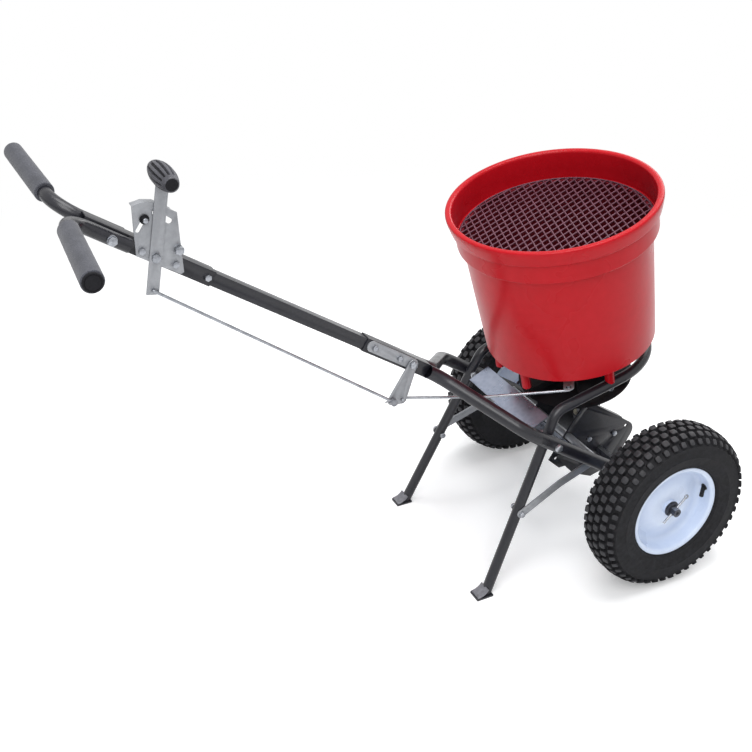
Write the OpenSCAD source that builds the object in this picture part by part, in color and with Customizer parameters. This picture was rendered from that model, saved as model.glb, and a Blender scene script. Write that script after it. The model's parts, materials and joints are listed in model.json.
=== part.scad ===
// Push-type broadcast spreader with a tub, two pneumatic wheels, a stand and a telescoped boom.
// +X points forward, +Y to the left, +Z up, and the origin is on the ground under the middle.
// Most pieces are drawn in one of two tilted frames that share the axle's centre:
// the hopper frame stands along the tub's axis, and the boom frame has its X axis on the rails.

/* [Stance] */
// Backward lean of the tub when the machine rests on its stand, in degrees
hopper_lean = 13.6; // [13:0.2:14.2]
// Rise of the rails and the boom over the tub's floor, in degrees
boom_rise = 47.1; // [46.5:0.1:47.7]

/* [Wheels] */
// Outer radius of a tyre
tyre_r = 163; // [160:0.5:166]
// Width of a tyre over its tread
tyre_w = 83; // [76:1:88]
// Distance between the wheels' middle planes
wheel_track = 473; // [460:1:490]
// Radius of the rim's flanges
rim_r = 91.4; // [88:0.2:94]
// Width of the rim over its flanges
rim_w = 64; // [60:1:68]
// Thickness of the rim's sheet
rim_t = 2; // [1.5:0.25:2.5]
// Radius of the hub tube
hub_r = 15; // [14:0.5:17]
// Length of the hub tube
hub_len = 40; // [38:1:46]
// Thickness of the tyre's side wall
tyre_wall = 6; // [4:0.5:8]

/* [Axle] */
// Radius of the axle
axle_r = 8; // [7:0.5:8.5]
// Distance from each outer washer to the middle of its split pin
pin_clear = 3.6; // [3:0.1:6]
// Distance of each split pin from the axle's end
pin_inset = 8.5; // [8:0.5:12]
// Length of a split pin
pin_len = 60; // [50:1:66]
// Slope of the split pins in the wheel's plane, in degrees
pin_slope = 44; // [0:1:90]

/* [Rails and boom] */
// Radius of the rail tubes
rail_r = 12.7; // [11.5:0.1:13.5]
// Distance of each rail's axis from the middle plane
rail_y = 150; // [146:1:154]
// Distance up the boom from the axle to the fork
fork_s = 456; // [450:1:462]
// Angle at which the rails leave the boom, in degrees
fork_angle = 46.5; // [44:0.5:50]
// Radius of the rails' bends
rail_bend_r = 60; // [50:1:66]
// Length of rail past the axle
rail_tail = 18; // [15:0.5:24]
// Outer width of the square boom tubes
boom_w = 25.4; // [25:0.1:27]
// Wall of all the frame's tubes
tube_wall = 1.5; // [1.2:0.1:1.8]
// Distance up the boom at which the lower tube ends
lower_boom_top = 608; // [602:1:616]
// Distance up the boom at which the upper tube begins
upper_boom_foot = 931; // [920:1:934]
// Distance up the boom at which the upper tube ends
upper_boom_top = 1165; // [1155:1:1172]
// Length of the middle tube hidden in each of the others
boom_overlap = 68; // [50:1:72]

/* [Stand] */
// Radius of the hoop and leg tubes
hoop_tube_r = 9.5; // [9:0.1:10]
// Half the width of the hoop
hoop_half = 123; // [120:0.5:123.5]
// Height of the hoop over the axle, along the tub's axis
hoop_h = 212; // [208:1:215]
// Distance behind the axle of the hoop's rear corners
hoop_rear = 127.5; // [124:0.5:131]
// Distance ahead of the axle of the hoop's bow centre
hoop_bow = 20; // [15:1:22]
// Radius of the bend from the hoop to the leg
corner_bend_r = 32; // [26:1:36]
// Slope of the legs below the hoop's plane, in degrees
leg_drop = 53.1; // [52:0.1:54]
// Outward splay of the legs, in degrees
leg_splay = 5.7; // [5.2:0.1:6.2]
// Distance from the hoop's corner to the leg bolt
leg_bolt_drop = 51.7; // [50:0.1:53]
// Distance from the leg bolt to the brace bolt
brace_drop = 147; // [140:1:155]
// Length of a foot
foot_len = 34; // [30:1:40]
// Width of a foot
foot_w = 25; // [22:1:28]
// Thickness of a foot
foot_t = 4; // [3:0.5:5]
// Width of a leg brace
brace_w = 16; // [14:1:17]
// Thickness of a leg brace
brace_t = 3; // [2:0.5:3]
// Distance up the rails to the cross rod
cross_rod_s = 96; // [93:1:100]
// Radius of the cross rod
cross_rod_r = 7; // [6:0.5:7.5]

/* [Tub] */
// Height of the tub's skirt edge over the axle, along its axis
skirt_h = 264.7; // [262:0.5:268]
// Height of the tub's lip over the axle
lip_h = 557.3; // [550:1:565]
// Outer radius of the lip
lip_r = 192; // [189:0.5:195]
// Outer radius of the skirt's edge
skirt_r = 157.6; // [156:0.5:160]
// Outer radius of the wall below the bands
wall_top_r = 170; // [168:0.5:172]
// Outer radius of the lower band
low_band_r = 181; // [179:0.5:183]
// Outer radius of the upper band
high_band_r = 189; // [187:0.5:190.5]
// Height of each band
band_h = 29; // [26:1:31]
// Thickness of the tub's wall
tub_wall = 3; // [2.5:0.25:3.5]
// Radius of the flat floor in the middle
floor_r = 84; // [80:1:88]
// Height of the flat floor's underside
floor_h = 247; // [245:0.5:250]
// Radius of the moulded feet
post_r = 9; // [8:0.5:10]
// Distance of the rear feet from the tub's axis
rear_post_ring = 140; // [136:1:142]
// Height at which the rear feet end
rear_post_h = 224; // [220:1:230]
// Angle of the rear feet from the front, in degrees
rear_post_angle = 162; // [158:1:166]

/* [Screen] */
// Width of a mesh strand
strand_w = 2.6; // [2:0.2:3]
// Thickness of the mesh
strand_t = 2; // [1.5:0.25:2.5]
// Distance between strands
strand_pitch = 19; // [19:0.5:22]
// Slope of the strands from the cross direction, in degrees
strand_angle = 33; // [28:1:38]
// Radius of the screen's rim wire
rim_wire_r = 2.2; // [1.8:0.1:2.4]

/* [Gate] */
// Radius of a port in the floor
port_r = 6; // [5:0.25:6.5]
// Distance of the ports from the tub's axis
port_ring = 60; // [54:1:64]
// Number of ports
port_count = 5; // [3:1:5]
// Angle between ports, in degrees
port_step = 24; // [22:1:26]
// Radius of the shutter
shutter_r = 76; // [74:1:80]
// Thickness of the shutter
shutter_t = 2.2; // [1.8:0.1:2.4]
// Radius of the boss on which the shutter turns
boss_r = 20; // [18:0.5:22]
// Radius of the gate rod and the control rod
rod_r = 2.5; // [2.2:0.1:2.7]

/* [Drive] */
// Radius of the impeller
impeller_r = 108; // [102:1:110]
// Height of the impeller over the axle
impeller_h = 160; // [157:0.5:163]
// Thickness of the impeller's disc
impeller_t = 2.5; // [2:0.25:3]
// Height of an impeller vane
vane_h = 13; // [10:1:15]
// Number of vanes
vane_count = 6; // [4:1:8]
// Radius of the upright shaft
shaft_r = 5; // [4.5:0.1:5.2]
// Height of the upright shaft's top over the axle
shaft_top = 276; // [270:1:282]
// Module of the gear teeth
gear_module = 1.5; // [1.5:0.1:1.5]
// Number of teeth on the crown gear
crown_teeth = 40; // [40:10:40]
// Number of teeth on the pinion
pinion_teeth = 10; // [10:1:10]
// Width of the gear teeth
gear_face = 4; // [3:0.5:4]
// Outer radius of the gear case
case_r = 50; // [49:0.5:54]
// Half the width of the gear case
case_half = 49; // [47:0.5:51]
// Wall of the gear case's sides
case_wall = 15; // [13:0.5:16]
// Thickness of the side plates
side_plate_t = 2; // [1.5:0.25:2.5]

/* [Handle] */
// Radius of the handle tubes
handle_r = 11.1; // [10.5:0.1:11.5]
// Distance up the boom at which the handle tubes begin
handle_foot = 1088; // [1086:0.5:1096]
// Distance up the boom to the handle bolt
handle_bolt_s = 1121; // [1116:1:1126]
// Distance up the boom to the handle's corner
handle_corner = 1200; // [1192:1:1206]
// Radius of the handle's bends
handle_bend_r = 50; // [44:1:54]
// Backward sweep of the grips, in degrees
grip_sweep = 4.3; // [3:0.1:6]
// Distance of the grips' inner ends from the middle plane
grip_start_y = 80; // [78:1:86]
// Length of a grip
grip_len = 194; // [180:1:205]
// Outer radius of a grip
grip_r = 15.8; // [15:0.1:17]

/* [Lever] */
// Distance up the boom to the lever's pivot
lever_s = 1038; // [1034:1:1042]
// Backward lean of the lever from the boom's square, in degrees
lever_lean = 25; // [22:0.5:26]
// Distance from the pivot to the lever's rod hole
foot_reach = 53; // [51:0.2:55]
// Distance from the pivot to the knob's axis
knob_reach = 129; // [126:1:134]
// Width of the lever
lever_w = 20; // [18:0.5:20]
// Thickness of the lever
lever_t = 3; // [2.5:0.25:3]
// Thickness of the lever plate
plate_t = 2.5; // [2:0.25:2.5]
// Length of the knob
knob_len = 90; // [80:1:94]
// Greatest radius of the knob
knob_r = 18; // [16:0.5:19]
// Radius of the flat at each end of the knob
knob_end_r = 11; // [9:0.5:12]
// Distance behind the pivot of the stop's slot
stop_back = 46; // [45:0.5:48]
// Height of the stop over the pivot
stop_up = 46; // [44:0.5:48]
// Height of the slot's lower end over the pivot
stop_slot_low = 26; // [24:0.5:30]
// Radius of the stop's washer
stop_r = 7.5; // [6.5:0.25:8]

/* [Bellcrank] */
// Distance up the boom to the bellcrank's pivot
bell_s = 498; // [495:1:501]
// Length of the bellcrank from its pivot to the control rod
bell_reach = 75.5; // [74:0.5:77]
// Forward lean of the bellcrank from the boom's square, in degrees
bell_lean = 1.6; // [0:0.2:3]
// Angle between the bellcrank's two holes, in degrees
bell_spread = 15; // [14:0.5:17]
// Length of the bellcrank from its pivot to the gate rod
gate_reach = 69; // [67:0.5:71]
// Thickness of the bellcrank and its bracket
bell_t = 3; // [2.5:0.25:3]
// Width of the bracket
bracket_w = 20; // [18:0.5:22]

/* [Fasteners and clearances] */
// Radius of the large bolts
m8_r = 4; // [3.9:0.05:4]
// Radius of the small bolts
m6_r = 3; // [2.9:0.05:3]
// Gap round a bolt in its hole
bolt_gap = 0.3; // [0.2:0.05:0.4]
rocking_gap = 0.5; // [0.45:0.05:0.6]
// Gap round a turning shaft
running_gap = 0.08; // [0.05:0.01:0.1]
// Gap between faces that slide past each other
face_gap = 0.4; // [0.3:0.05:0.5]
// Gap between pieces that are fixed together
seat_gap = 0.2; // [0.1:0.05:0.3]
// Play round a rod's end in the hole that leads it
rod_play = 2.4; // [2.2:0.1:2.6]

/* [Hidden] */
$fn = 64;

RIGHT = -1;
LEFT = 1;
past = 1;
// A pipe is a little thinner in its bends, and each straight length runs into them
bend_thin = 0.06;
bend_lap = 1.5;
// A flat bar's round ends stand out from its sides by this much
end_swell = 0.1;
// A rod is a little thicker at a sharp elbow
elbow_swell = 0.05;
wheel_y = wheel_track / 2;
rest_rise = boom_rise - hopper_lean;

// Handle: turn of its bend, and where the bend ends
handle_turn = 90 - grip_sweep;
handle_y = boom_w / 2 + handle_r + seat_gap;
bend_run = handle_bend_r * tan(handle_turn / 2);
bend_end_x = -(handle_corner - bend_run + handle_bend_r * sin(handle_turn));
bend_end_y = handle_y + handle_bend_r * (1 - cos(handle_turn));
grip_start = (grip_start_y - bend_end_y) / cos(grip_sweep);
grip_end = grip_start + grip_len;
plug_t = 3;

// Reach of the grips behind the axle, which sets the middle of the whole
rear_reach = (grip_end * sin(grip_sweep) - bend_end_x) * cos(rest_rise) + grip_r;
axle_x = (rear_reach - tyre_r) / 2;

// Boom: the sliding tube fills the outer ones with a small gap
slider_w = boom_w - 2 * tube_wall - 2 * seat_gap;
boom_face = boom_w / 2;

// Rails
fork_y = rail_r + seat_gap;
rail_diagonal = (rail_y - fork_y - 2 * rail_bend_r * (1 - cos(fork_angle))) / sin(fork_angle);
rail_knee_s = fork_s - 2 * rail_bend_r * sin(fork_angle) - rail_diagonal * cos(fork_angle);
rail_face_in = rail_y - rail_r;
rail_face_out = rail_y + rail_r;

// Stand: the leg's run to the ground from the hoop's corner
corner_z = tyre_r - hoop_rear * sin(hopper_lean) + hoop_h * cos(hopper_lean);
leg_fall = sin(hopper_lean) * cos(leg_drop)
    + cos(hopper_lean) * sin(leg_drop) * cos(leg_splay);
leg_len = corner_z / leg_fall;
leg_top = leg_bolt_drop - 16;
spigot_r = hoop_tube_r - tube_wall - seat_gap;
spigot_len = 30;
corner_run = corner_bend_r * tan(leg_drop / 2);
leg_in = cos(hopper_lean) * cos(leg_drop) - sin(hopper_lean) * sin(leg_drop) * cos(leg_splay);
foot_x = -hoop_rear * cos(hopper_lean) - hoop_h * sin(hopper_lean) - leg_in * leg_len;
foot_y = hoop_half + leg_len * sin(leg_drop) * sin(leg_splay);

// A point down the leg, as [x, y, height] in the hopper frame
function leg_point(drop) = [
    -hoop_rear - drop * cos(leg_drop),
    hoop_half + drop * sin(leg_drop) * sin(leg_splay),
    hoop_h - drop * sin(leg_drop) * cos(leg_splay)
];
// A hopper frame point turned into the boom frame
function in_boom(p) = [
    p[0] * cos(boom_rise) - p[2] * sin(boom_rise),
    p[1],
    p[0] * sin(boom_rise) + p[2] * cos(boom_rise)
];
leg_bolt = in_boom(leg_point(leg_bolt_drop));
brace_bolt = in_boom(leg_point(leg_bolt_drop + brace_drop));
brace_y = brace_bolt[1] + hoop_tube_r + brace_t / 2 + 0.5;
brace_top_y = rail_face_in - brace_t / 2 - 0.6;
brace_bend = [-155, -67];

// Tub
tub_slope = (wall_top_r - skirt_r) / (lip_h - 2 * band_h - skirt_h);
low_band_h = lip_h - 2 * band_h;
high_band_h = lip_h - band_h;
ledge_h = low_band_h + 1;
funnel_top = skirt_h + 32;
funnel_r = skirt_r + tub_slope * (funnel_top - skirt_h) - tub_wall;
front_post_x = hoop_bow + hoop_half;
side_post_x = -7;
boss_drop = shutter_t + 2 * face_gap;
post_screw_len = 46;

// Screen
screen_r = low_band_r - tub_wall - 4;
strand_count = floor(screen_r / strand_pitch);

// Gate: the rod's rear end, its bend and its front end
lever_pivot = [-lever_s, -2];
lever_foot = lever_pivot + foot_reach * [sin(lever_lean), -cos(lever_lean)];
knob_axis = lever_pivot + knob_reach * [-sin(lever_lean), cos(lever_lean)];
lever_end = 8;
knob_hold = 6;
bell_pivot = [-bell_s, 2];
bell_rod_hole = bell_pivot + bell_reach * [sin(bell_lean), -cos(bell_lean)];
bell_gate_hole = bell_pivot
    + gate_reach * [sin(bell_lean + bell_spread), -cos(bell_lean + bell_spread)];
gate_bend = [-326, -36, 3];
ear = [-92, -118];
ear_angle = atan2(ear[1], ear[0]);
ear_reach = norm(ear);
shutter_h = floor_h - face_gap - shutter_t;
gate_rod_h = shutter_h - 2 * rod_r - 1;
gate_front = in_boom([ear[0], ear[1], gate_rod_h]);

// Gears: the pinion stands over the axle and meshes with the crown gear's face
crown_r = gear_module * crown_teeth / 2;
pinion_r = gear_module * pinion_teeth / 2;
tooth_up = 0.8 * gear_module;
tooth_down = 1.1 * gear_module;
tooth_half = 0.66 * gear_module;
crown_disc = pinion_r + tooth_down;
crown_t = 5;
crown_hub_r = 14;
crown_hub_end = 32;
gear_pin_r = 2;
gear_pin_y = 25;
cavity_r = crown_r + 8;
case_screw_ring = case_r - 6;
case_screw_angles = [28, 118, 208, 298];
neck_r = 14;
neck_top = case_r + 12;
bush_r = 8;
flange_t = 2;

// Sides of the lever group, measured across the boom
plate_y = -boom_face - plate_t;
lever_y = plate_y - face_gap - lever_t;
rod_y = lever_y - rod_r - 1;
bracket_y = -boom_face - bell_t;
bell_y = bracket_y - face_gap - bell_t;
gate_y = 1.6 - boom_face;
front_stop = lever_pivot + [28, 25];
handle_bolt_out = handle_y + handle_r + 2;

// Heads and nuts
m8_across = 13;
m8_head = 5.3;
m8_nut = 6.5;
m6_across = 10;
m6_head = 4;
m6_nut = 5;
washer_t = 2;
centre_depth = 5;
outer_washer_y = wheel_y + hub_len / 2 + flange_t + 2 * seat_gap;
split_pin_y = outer_washer_y + washer_t + pin_clear;
axle_len = 2 * (split_pin_y + pin_inset);

plate_bolts = [lever_pivot + [-24, 0], lever_pivot + [36, 2]];
bracket_bolts = [[-588, 2], [-528, 2]];
joint_bolt = [-941, 0];

// Frames and small shared shapes

module at_axle() {
    translate([axle_x, 0, tyre_r]) children();
}

module in_hopper_frame() {
    at_axle() rotate([0, -hopper_lean, 0]) children();
}

module in_boom_frame() {
    in_hopper_frame() rotate([0, boom_rise, 0]) children();
}

module on_side(side) {
    if (side == LEFT) {
        children();
    } else {
        mirror([0, 1, 0]) children();
    }
}

module on_both_sides() {
    for (side = [RIGHT, LEFT]) on_side(side) children();
}

// A round bar along Y
module bar_y(y0, y1, r) {
    translate([0, y0, 0]) rotate([-90, 0, 0]) cylinder(h = y1 - y0, r = r);
}

module hex_y(y0, y1, across) {
    translate([0, y0, 0]) rotate([-90, 0, 0]) cylinder(h = y1 - y0, d = across / cos(30), $fn = 6);
}

// A round bar between two points
module bar_between(p, q, r) {
    d = q - p;
    translate(p) rotate([0, acos(d[2] / norm(d)), atan2(d[1], d[0])]) cylinder(h = norm(d), r = r);
}

// A straight length of pipe from the origin along +X, with the children at its end
module pipe_ahead(length, r, before, after) {
    translate([-before, 0, 0]) rotate([0, 90, 0]) cylinder(h = length + before + after, r = r);
    translate([length, 0, 0]) children();
}

// A bend from the origin along +X towards +Y, with the children at its end
module pipe_bend(bend_r, angle, r) {
    translate([0, bend_r, 0]) {
        rotate(-90) rotate_extrude(angle = angle) translate([bend_r, 0]) circle(r - bend_thin);
        rotate(angle) translate([0, -bend_r, 0]) children();
    }
}

// A flat plate whose outline lies along X and Z, from y0 towards +Y
module plate_xz(y0, t) {
    translate([0, y0 + t, 0]) rotate([90, 0, 0]) linear_extrude(t) children();
}

// A flat bar whose round ends are a little wider than the bar
module bar_2d(p, q, w) {
    d = q - p;
    side = w / 2 - end_swell;
    translate(p) circle(d = w);
    translate(q) circle(d = w);
    translate(p) rotate(atan2(d[1], d[0])) translate([0, -side]) square([norm(d), 2 * side]);
}

module bolt_y(r, across, head, y0, y1) {
    bar_y(y0 - past / 2, y1, r);
    hex_y(y0 - head, y0, across);
}

module nut_y(r, across, thickness, y0) {
    difference() {
        hex_y(y0, y0 + thickness, across);
        bar_y(y0 - past, y0 + thickness + past, r + running_gap);
    }
}

module square_tube(s0, s1, w) {
    translate([-s1, -w / 2, -w / 2]) difference() {
        cube([s1 - s0, w, w]);
        translate([-past, tube_wall, tube_wall])
            cube([s1 - s0 + 2 * past, w - 2 * tube_wall, w - 2 * tube_wall]);
    }
}

module bolt_hole(place, r) {
    translate([place[0], 0, place[1]]) bar_y(-boom_w, boom_w, r + bolt_gap);
}

// Boom and rails

module lower_boom() {
    color([0.12, 0.12, 0.14]) in_boom_frame() difference() {
        square_tube(fork_s, lower_boom_top, boom_w);
        for (place = bracket_bolts) bolt_hole(place, m6_r);
        bolt_hole(bell_pivot, m8_r);
    }
}

module middle_boom() {
    color([0.14, 0.14, 0.16]) in_boom_frame() difference() {
        square_tube(lower_boom_top - boom_overlap, upper_boom_foot + boom_overlap, slider_w);
        bolt_hole(bracket_bolts[0], m6_r);
        bolt_hole(joint_bolt, m6_r);
    }
}

module upper_boom() {
    color([0.12, 0.12, 0.14]) in_boom_frame() difference() {
        square_tube(upper_boom_foot, upper_boom_top, boom_w);
        bolt_hole(joint_bolt, m6_r);
        for (place = plate_bolts) bolt_hole(place, m6_r);
        bolt_hole(lever_pivot, m8_r);
        bolt_hole([-handle_bolt_s, 0], m8_r);
    }
}

// The left rail's run as a solid bar of radius r, longer at its ends by extra
module rail_run(r, extra) {
    translate([rail_tail + extra, rail_y, 0]) rotate(180)
        pipe_ahead(rail_tail + rail_knee_s + extra, r, 0, bend_lap)
        pipe_bend(rail_bend_r, fork_angle, r)
        pipe_ahead(rail_diagonal, r, bend_lap, bend_lap)
        mirror([0, 1, 0]) pipe_bend(rail_bend_r, fork_angle, r)
        pipe_ahead(extra, r, bend_lap, 0);
}

module rail(side) {
    color([0.10, 0.10, 0.12]) in_boom_frame() on_side(side) difference() {
        rail_run(rail_r, 0);
        rail_run(rail_r - tube_wall, past);
        bar_y(rail_y - 2 * rail_r, rail_y + 2 * rail_r, axle_r + 2.5);
        for (x = [-cross_rod_s, leg_bolt[0]])
            translate([x, 0, 0]) bar_y(rail_y - 2 * rail_r, rail_y + 2 * rail_r, m8_r + bolt_gap);
    }
}

module rail_right() { rail(RIGHT); }
module rail_left() { rail(LEFT); }

module cross_rod() {
    end_y = brace_top_y - brace_t / 2 - 1;
    color([0.70, 0.71, 0.72]) in_boom_frame() translate([-cross_rod_s, 0, 0]) difference() {
        bar_y(-end_y, end_y, cross_rod_r);
        on_both_sides() bar_y(end_y - 24, end_y + past, m8_r + running_gap);
    }
}

// Stand

// The frame of one leg: its origin is the hoop's corner and -Z runs down the leg
module in_leg_frame() {
    translate([-hoop_rear, hoop_half, hoop_h])
        rotate([leg_splay, 0, 0])
        rotate([0, 90 - leg_drop, 0])
        children();
}

// The hoop as a solid bar of radius r that ends at a given shortfall before its spigots
module hoop_run(r, shortfall) {
    translate([hoop_bow, 0, hoop_h]) {
        rotate(-90) rotate_extrude(angle = 180) translate([hoop_half, 0]) circle(r - bend_thin);
        on_both_sides() translate([0, hoop_half, 0]) mirror([1, 0, 0])
            pipe_ahead(hoop_bow + hoop_rear - corner_run, r, bend_lap, bend_lap)
            rotate([leg_splay - 90, 0, 0])
            pipe_bend(corner_bend_r, leg_drop, r)
            pipe_ahead(leg_top - corner_run - shortfall, r, bend_lap, 0);
    }
}

module hoop() {
    color([0.10, 0.10, 0.12]) in_hopper_frame() difference() {
        union() {
            hoop_run(hoop_tube_r, 0);
            on_both_sides() in_leg_frame() translate([0, 0, -leg_top - spigot_len])
                cylinder(h = spigot_len + tube_wall, r = spigot_r);
        }
        hoop_run(hoop_tube_r - tube_wall, 2 * tube_wall);
        on_both_sides() in_leg_frame() translate([0, 0, -leg_top - spigot_len - past])
            cylinder(h = spigot_len + 3 * tube_wall, r = spigot_r - tube_wall);
        on_both_sides() translate([leg_point(leg_bolt_drop)[0], 0, leg_point(leg_bolt_drop)[2]])
            bar_y(hoop_half / 2, rail_y, m8_r + bolt_gap);
        for (place = post_places)
            translate([place[0], place[1], hoop_h - hoop_tube_r - past])
                cylinder(h = 2 * (hoop_tube_r + past), r = m6_r + bolt_gap);
    }
}

module leg(side) {
    bolt = leg_point(leg_bolt_drop);
    strap = leg_point(leg_bolt_drop + brace_drop);
    color([0.10, 0.10, 0.12]) on_side(side) difference() {
        union() {
            in_hopper_frame() in_leg_frame() translate([0, 0, -leg_len - 2 * hoop_tube_r])
                cylinder(h = leg_len + 2 * hoop_tube_r - leg_top - seat_gap, r = hoop_tube_r);
            translate([axle_x + foot_x - foot_len + hoop_tube_r, foot_y - foot_w / 2, 0])
                cube([foot_len, foot_w, foot_t]);
        }
        in_hopper_frame() in_leg_frame() translate([0, 0, -leg_len + 2 * foot_t])
            cylinder(h = leg_len, r = hoop_tube_r - tube_wall);
        in_hopper_frame() translate([bolt[0], 0, bolt[2]])
            bar_y(hoop_half / 2, rail_y, m8_r + bolt_gap);
        in_hopper_frame() translate([strap[0], 0, strap[2]])
            bar_y(hoop_half / 2, rail_face_out, m6_r + bolt_gap);
        translate([axle_x + foot_x - foot_len * 2, 0, -foot_len])
            cube([foot_len * 4, rail_y * 2, foot_len]);
    }
}

module leg_right() { leg(RIGHT); }
module leg_left() { leg(LEFT); }

// The brace's outline starts at its lower bolt, with X towards the cross rod's bolt
module brace(side) {
    low = [brace_bolt[0], brace_bolt[2]];
    rise = [-cross_rod_s, 0] - low;
    turn = atan2(rise[1], rise[0]);
    flat_bend = [
        (brace_bend - low) * [cos(turn), sin(turn)],
        (brace_bend - low) * [-sin(turn), cos(turn)]
    ];
    reach = norm([norm(rise), brace_y - brace_top_y]);
    tilt = asin((brace_y - brace_top_y) / reach);
    color([0.70, 0.71, 0.72]) in_boom_frame() on_side(side)
        translate([low[0], brace_y, low[1]]) rotate([0, -turn, 0]) rotate([0, 0, -tilt])
        plate_xz(-brace_t / 2, brace_t) difference() {
            union() {
                bar_2d([0, 0], flat_bend, brace_w);
                bar_2d(flat_bend, [reach, 0], brace_w);
            }
            circle(m6_r + bolt_gap);
            translate([reach, 0]) circle(m8_r + bolt_gap);
        }
}

module brace_right() { brace(RIGHT); }
module brace_left() { brace(LEFT); }

// Plates beside and behind the gear case

module side_plate(side) {
    nose = [34, 54];
    nose_r = 22;
    color([0.16, 0.16, 0.18]) in_boom_frame() on_side(side) {
        plate_xz(case_half, side_plate_t) difference() {
            union() {
                polygon([
                    [-106, 80], nose + [0, nose_r], nose + [nose_r, 0], [59, 6], [40, -38],
                    [22, -58], [-26, -66], [-58, -58], [-70, -66], [-106, -60]
                ]);
                translate(nose) circle(nose_r);
            }
            circle(axle_r + 2);
            translate([-cross_rod_s, 0]) circle(cross_rod_r + seat_gap);
            for (a = case_screw_angles) rotate(a + boom_rise)
                translate([case_screw_ring, 0]) circle(m6_r + bolt_gap);
            for (place = [[30, 66], [-92, -51], [-92, 66]]) translate(place) circle(3);
        }
        translate([-80, case_half - 14, 76]) cube([90, 14 + side_plate_t / 2, side_plate_t]);
    }
}

module side_plate_right() { side_plate(RIGHT); }
module side_plate_left() { side_plate(LEFT); }

module deflector() {
    sheet_t = 1.6;
    drop = cross_rod_r + seat_gap + sheet_t;
    front = -cross_rod_s - cross_rod_r - 5;
    back = -250;
    half = 100;
    flap = 46;
    flap_lean = 30;
    color([0.84, 0.87, 0.90]) in_boom_frame() translate([0, 0, -drop]) {
        translate([back, -half, 0]) cube([front - back, 2 * half, sheet_t]);
        on_both_sides() translate([front - past, 72, 0])
            cube([cross_rod_r * 2 + 8, 16, sheet_t]);
        translate([back, -half, 0]) rotate([0, flap_lean, 0])
            cube([sheet_t, 2 * half, flap]);
    }
}

// Tub, screen and gate

post_places = [
    [front_post_x, 0],
    [side_post_x, hoop_half],
    [side_post_x, -hoop_half]
];

module tub_outside() {
    rotate_extrude() polygon([
        [0, floor_h - boss_drop], [boss_r, floor_h - boss_drop], [boss_r, floor_h],
        [floor_r, floor_h], [funnel_r, funnel_top - tub_wall], [skirt_r - tub_wall, skirt_h],
        [skirt_r, skirt_h], [wall_top_r, low_band_h - 2], [low_band_r - 3, low_band_h],
        [low_band_r, low_band_h + 4], [low_band_r, high_band_h - 2],
        [high_band_r - 3, high_band_h], [high_band_r - 2, high_band_h + 4],
        [high_band_r, lip_h - 6], [lip_r - 1, lip_h - 5], [lip_r, lip_h - 3], [lip_r - 1, lip_h - 1],
        [lip_r - 3, lip_h], [0, lip_h]
    ]);
}

module tub_inside() {
    rotate_extrude() polygon([
        [0, floor_h + tub_wall], [floor_r, floor_h + tub_wall], [funnel_r, funnel_top],
        [wall_top_r - tub_wall, ledge_h - 4], [wall_top_r - tub_wall, ledge_h],
        [low_band_r - tub_wall, ledge_h], [low_band_r - tub_wall, high_band_h],
        [lip_r - 2 * tub_wall, lip_h - 1],
        [lip_r - 2 * tub_wall + 1, lip_h + past], [0, lip_h + past]
    ]);
}

module hopper() {
    color([0.80, 0.10, 0.10]) in_hopper_frame() difference() {
        union() {
            tub_outside();
            for (place = post_places) translate([place[0], place[1], hoop_h])
                cylinder(h = funnel_top - hoop_h, r = post_r);
            for (a = [-rear_post_angle, rear_post_angle]) rotate(a)
                translate([rear_post_ring, 0, rear_post_h])
                cylinder(h = funnel_top - rear_post_h, r = post_r);
        }
        tub_inside();
        on_both_sides() translate([-hoop_rear, hoop_half, hoop_h]) rotate([0, 90, 0])
            cylinder(h = hoop_rear + hoop_bow, r = hoop_tube_r + seat_gap);
        translate([front_post_x, 0, hoop_h])
            bar_y(-2 * post_r, 2 * post_r, hoop_tube_r + 2 * seat_gap);
        translate([0, 0, floor_h - 2 * boss_drop])
            cylinder(h = 4 * tub_wall + boss_drop, r = shaft_r + 1);
        for (i = [0 : port_count - 1]) rotate((i - (port_count - 1) / 2) * port_step)
            translate([port_ring, 0, floor_h - past])
            cylinder(h = tub_wall + 2 * past, r = port_r);
        for (place = post_places) translate([place[0], place[1], hoop_h - past])
            cylinder(h = post_screw_len - hoop_tube_r, r = m6_r + running_gap);
    }
}

module screen() {
    color([0.16, 0.10, 0.14]) in_hopper_frame() translate([0, 0, ledge_h + seat_gap]) {
        linear_extrude(strand_t) intersection() {
            circle(screen_r - rim_wire_r);
            for (slope = [90 - strand_angle, 90 + strand_angle]) rotate(slope)
                for (i = [-strand_count : strand_count])
                    translate([-screen_r, i * strand_pitch - strand_w / 2])
                    square([2 * screen_r, strand_w]);
        }
        translate([0, 0, rim_wire_r]) rotate_extrude()
            translate([screen_r - rim_wire_r, 0]) circle(rim_wire_r);
    }
}

module shutter() {
    color([0.70, 0.71, 0.72]) in_hopper_frame() translate([0, 0, shutter_h])
        linear_extrude(shutter_t) difference() {
            union() {
                circle(shutter_r);
                rotate(ear_angle) bar_2d([boss_r + 8, 0], [ear_reach, 0], 19);
            }
            circle(boss_r + face_gap);
            for (i = [0 : port_count - 1]) rotate((i - (port_count - 1) / 2) * port_step)
                translate([port_ring, 0]) circle(port_r);
            translate(ear) circle(rod_r + rod_play);
        }
}

module shutter_ring() {
    color([0.20, 0.20, 0.22]) in_hopper_frame()
        translate([0, 0, floor_h - boss_drop - seat_gap - washer_t]) difference() {
            cylinder(h = washer_t, r = boss_r + 7);
            translate([0, 0, -past]) cylinder(h = washer_t + 2 * past, r = shaft_r + 1);
        }
}

// The rod's front end turns up through the shutter's ear, its rear end through the bellcrank
// The rod's rear pin stands a little askew in the bellcrank, along the axis that it turns on
gate_pin_way = [0.14979, 0.98259, -0.10996];
function gate_pin_at(y) = [bell_gate_hole[0], bell_y + bell_t / 2, bell_gate_hole[1]]
    + gate_pin_way * (y - bell_y - bell_t / 2) / gate_pin_way[1];

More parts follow.
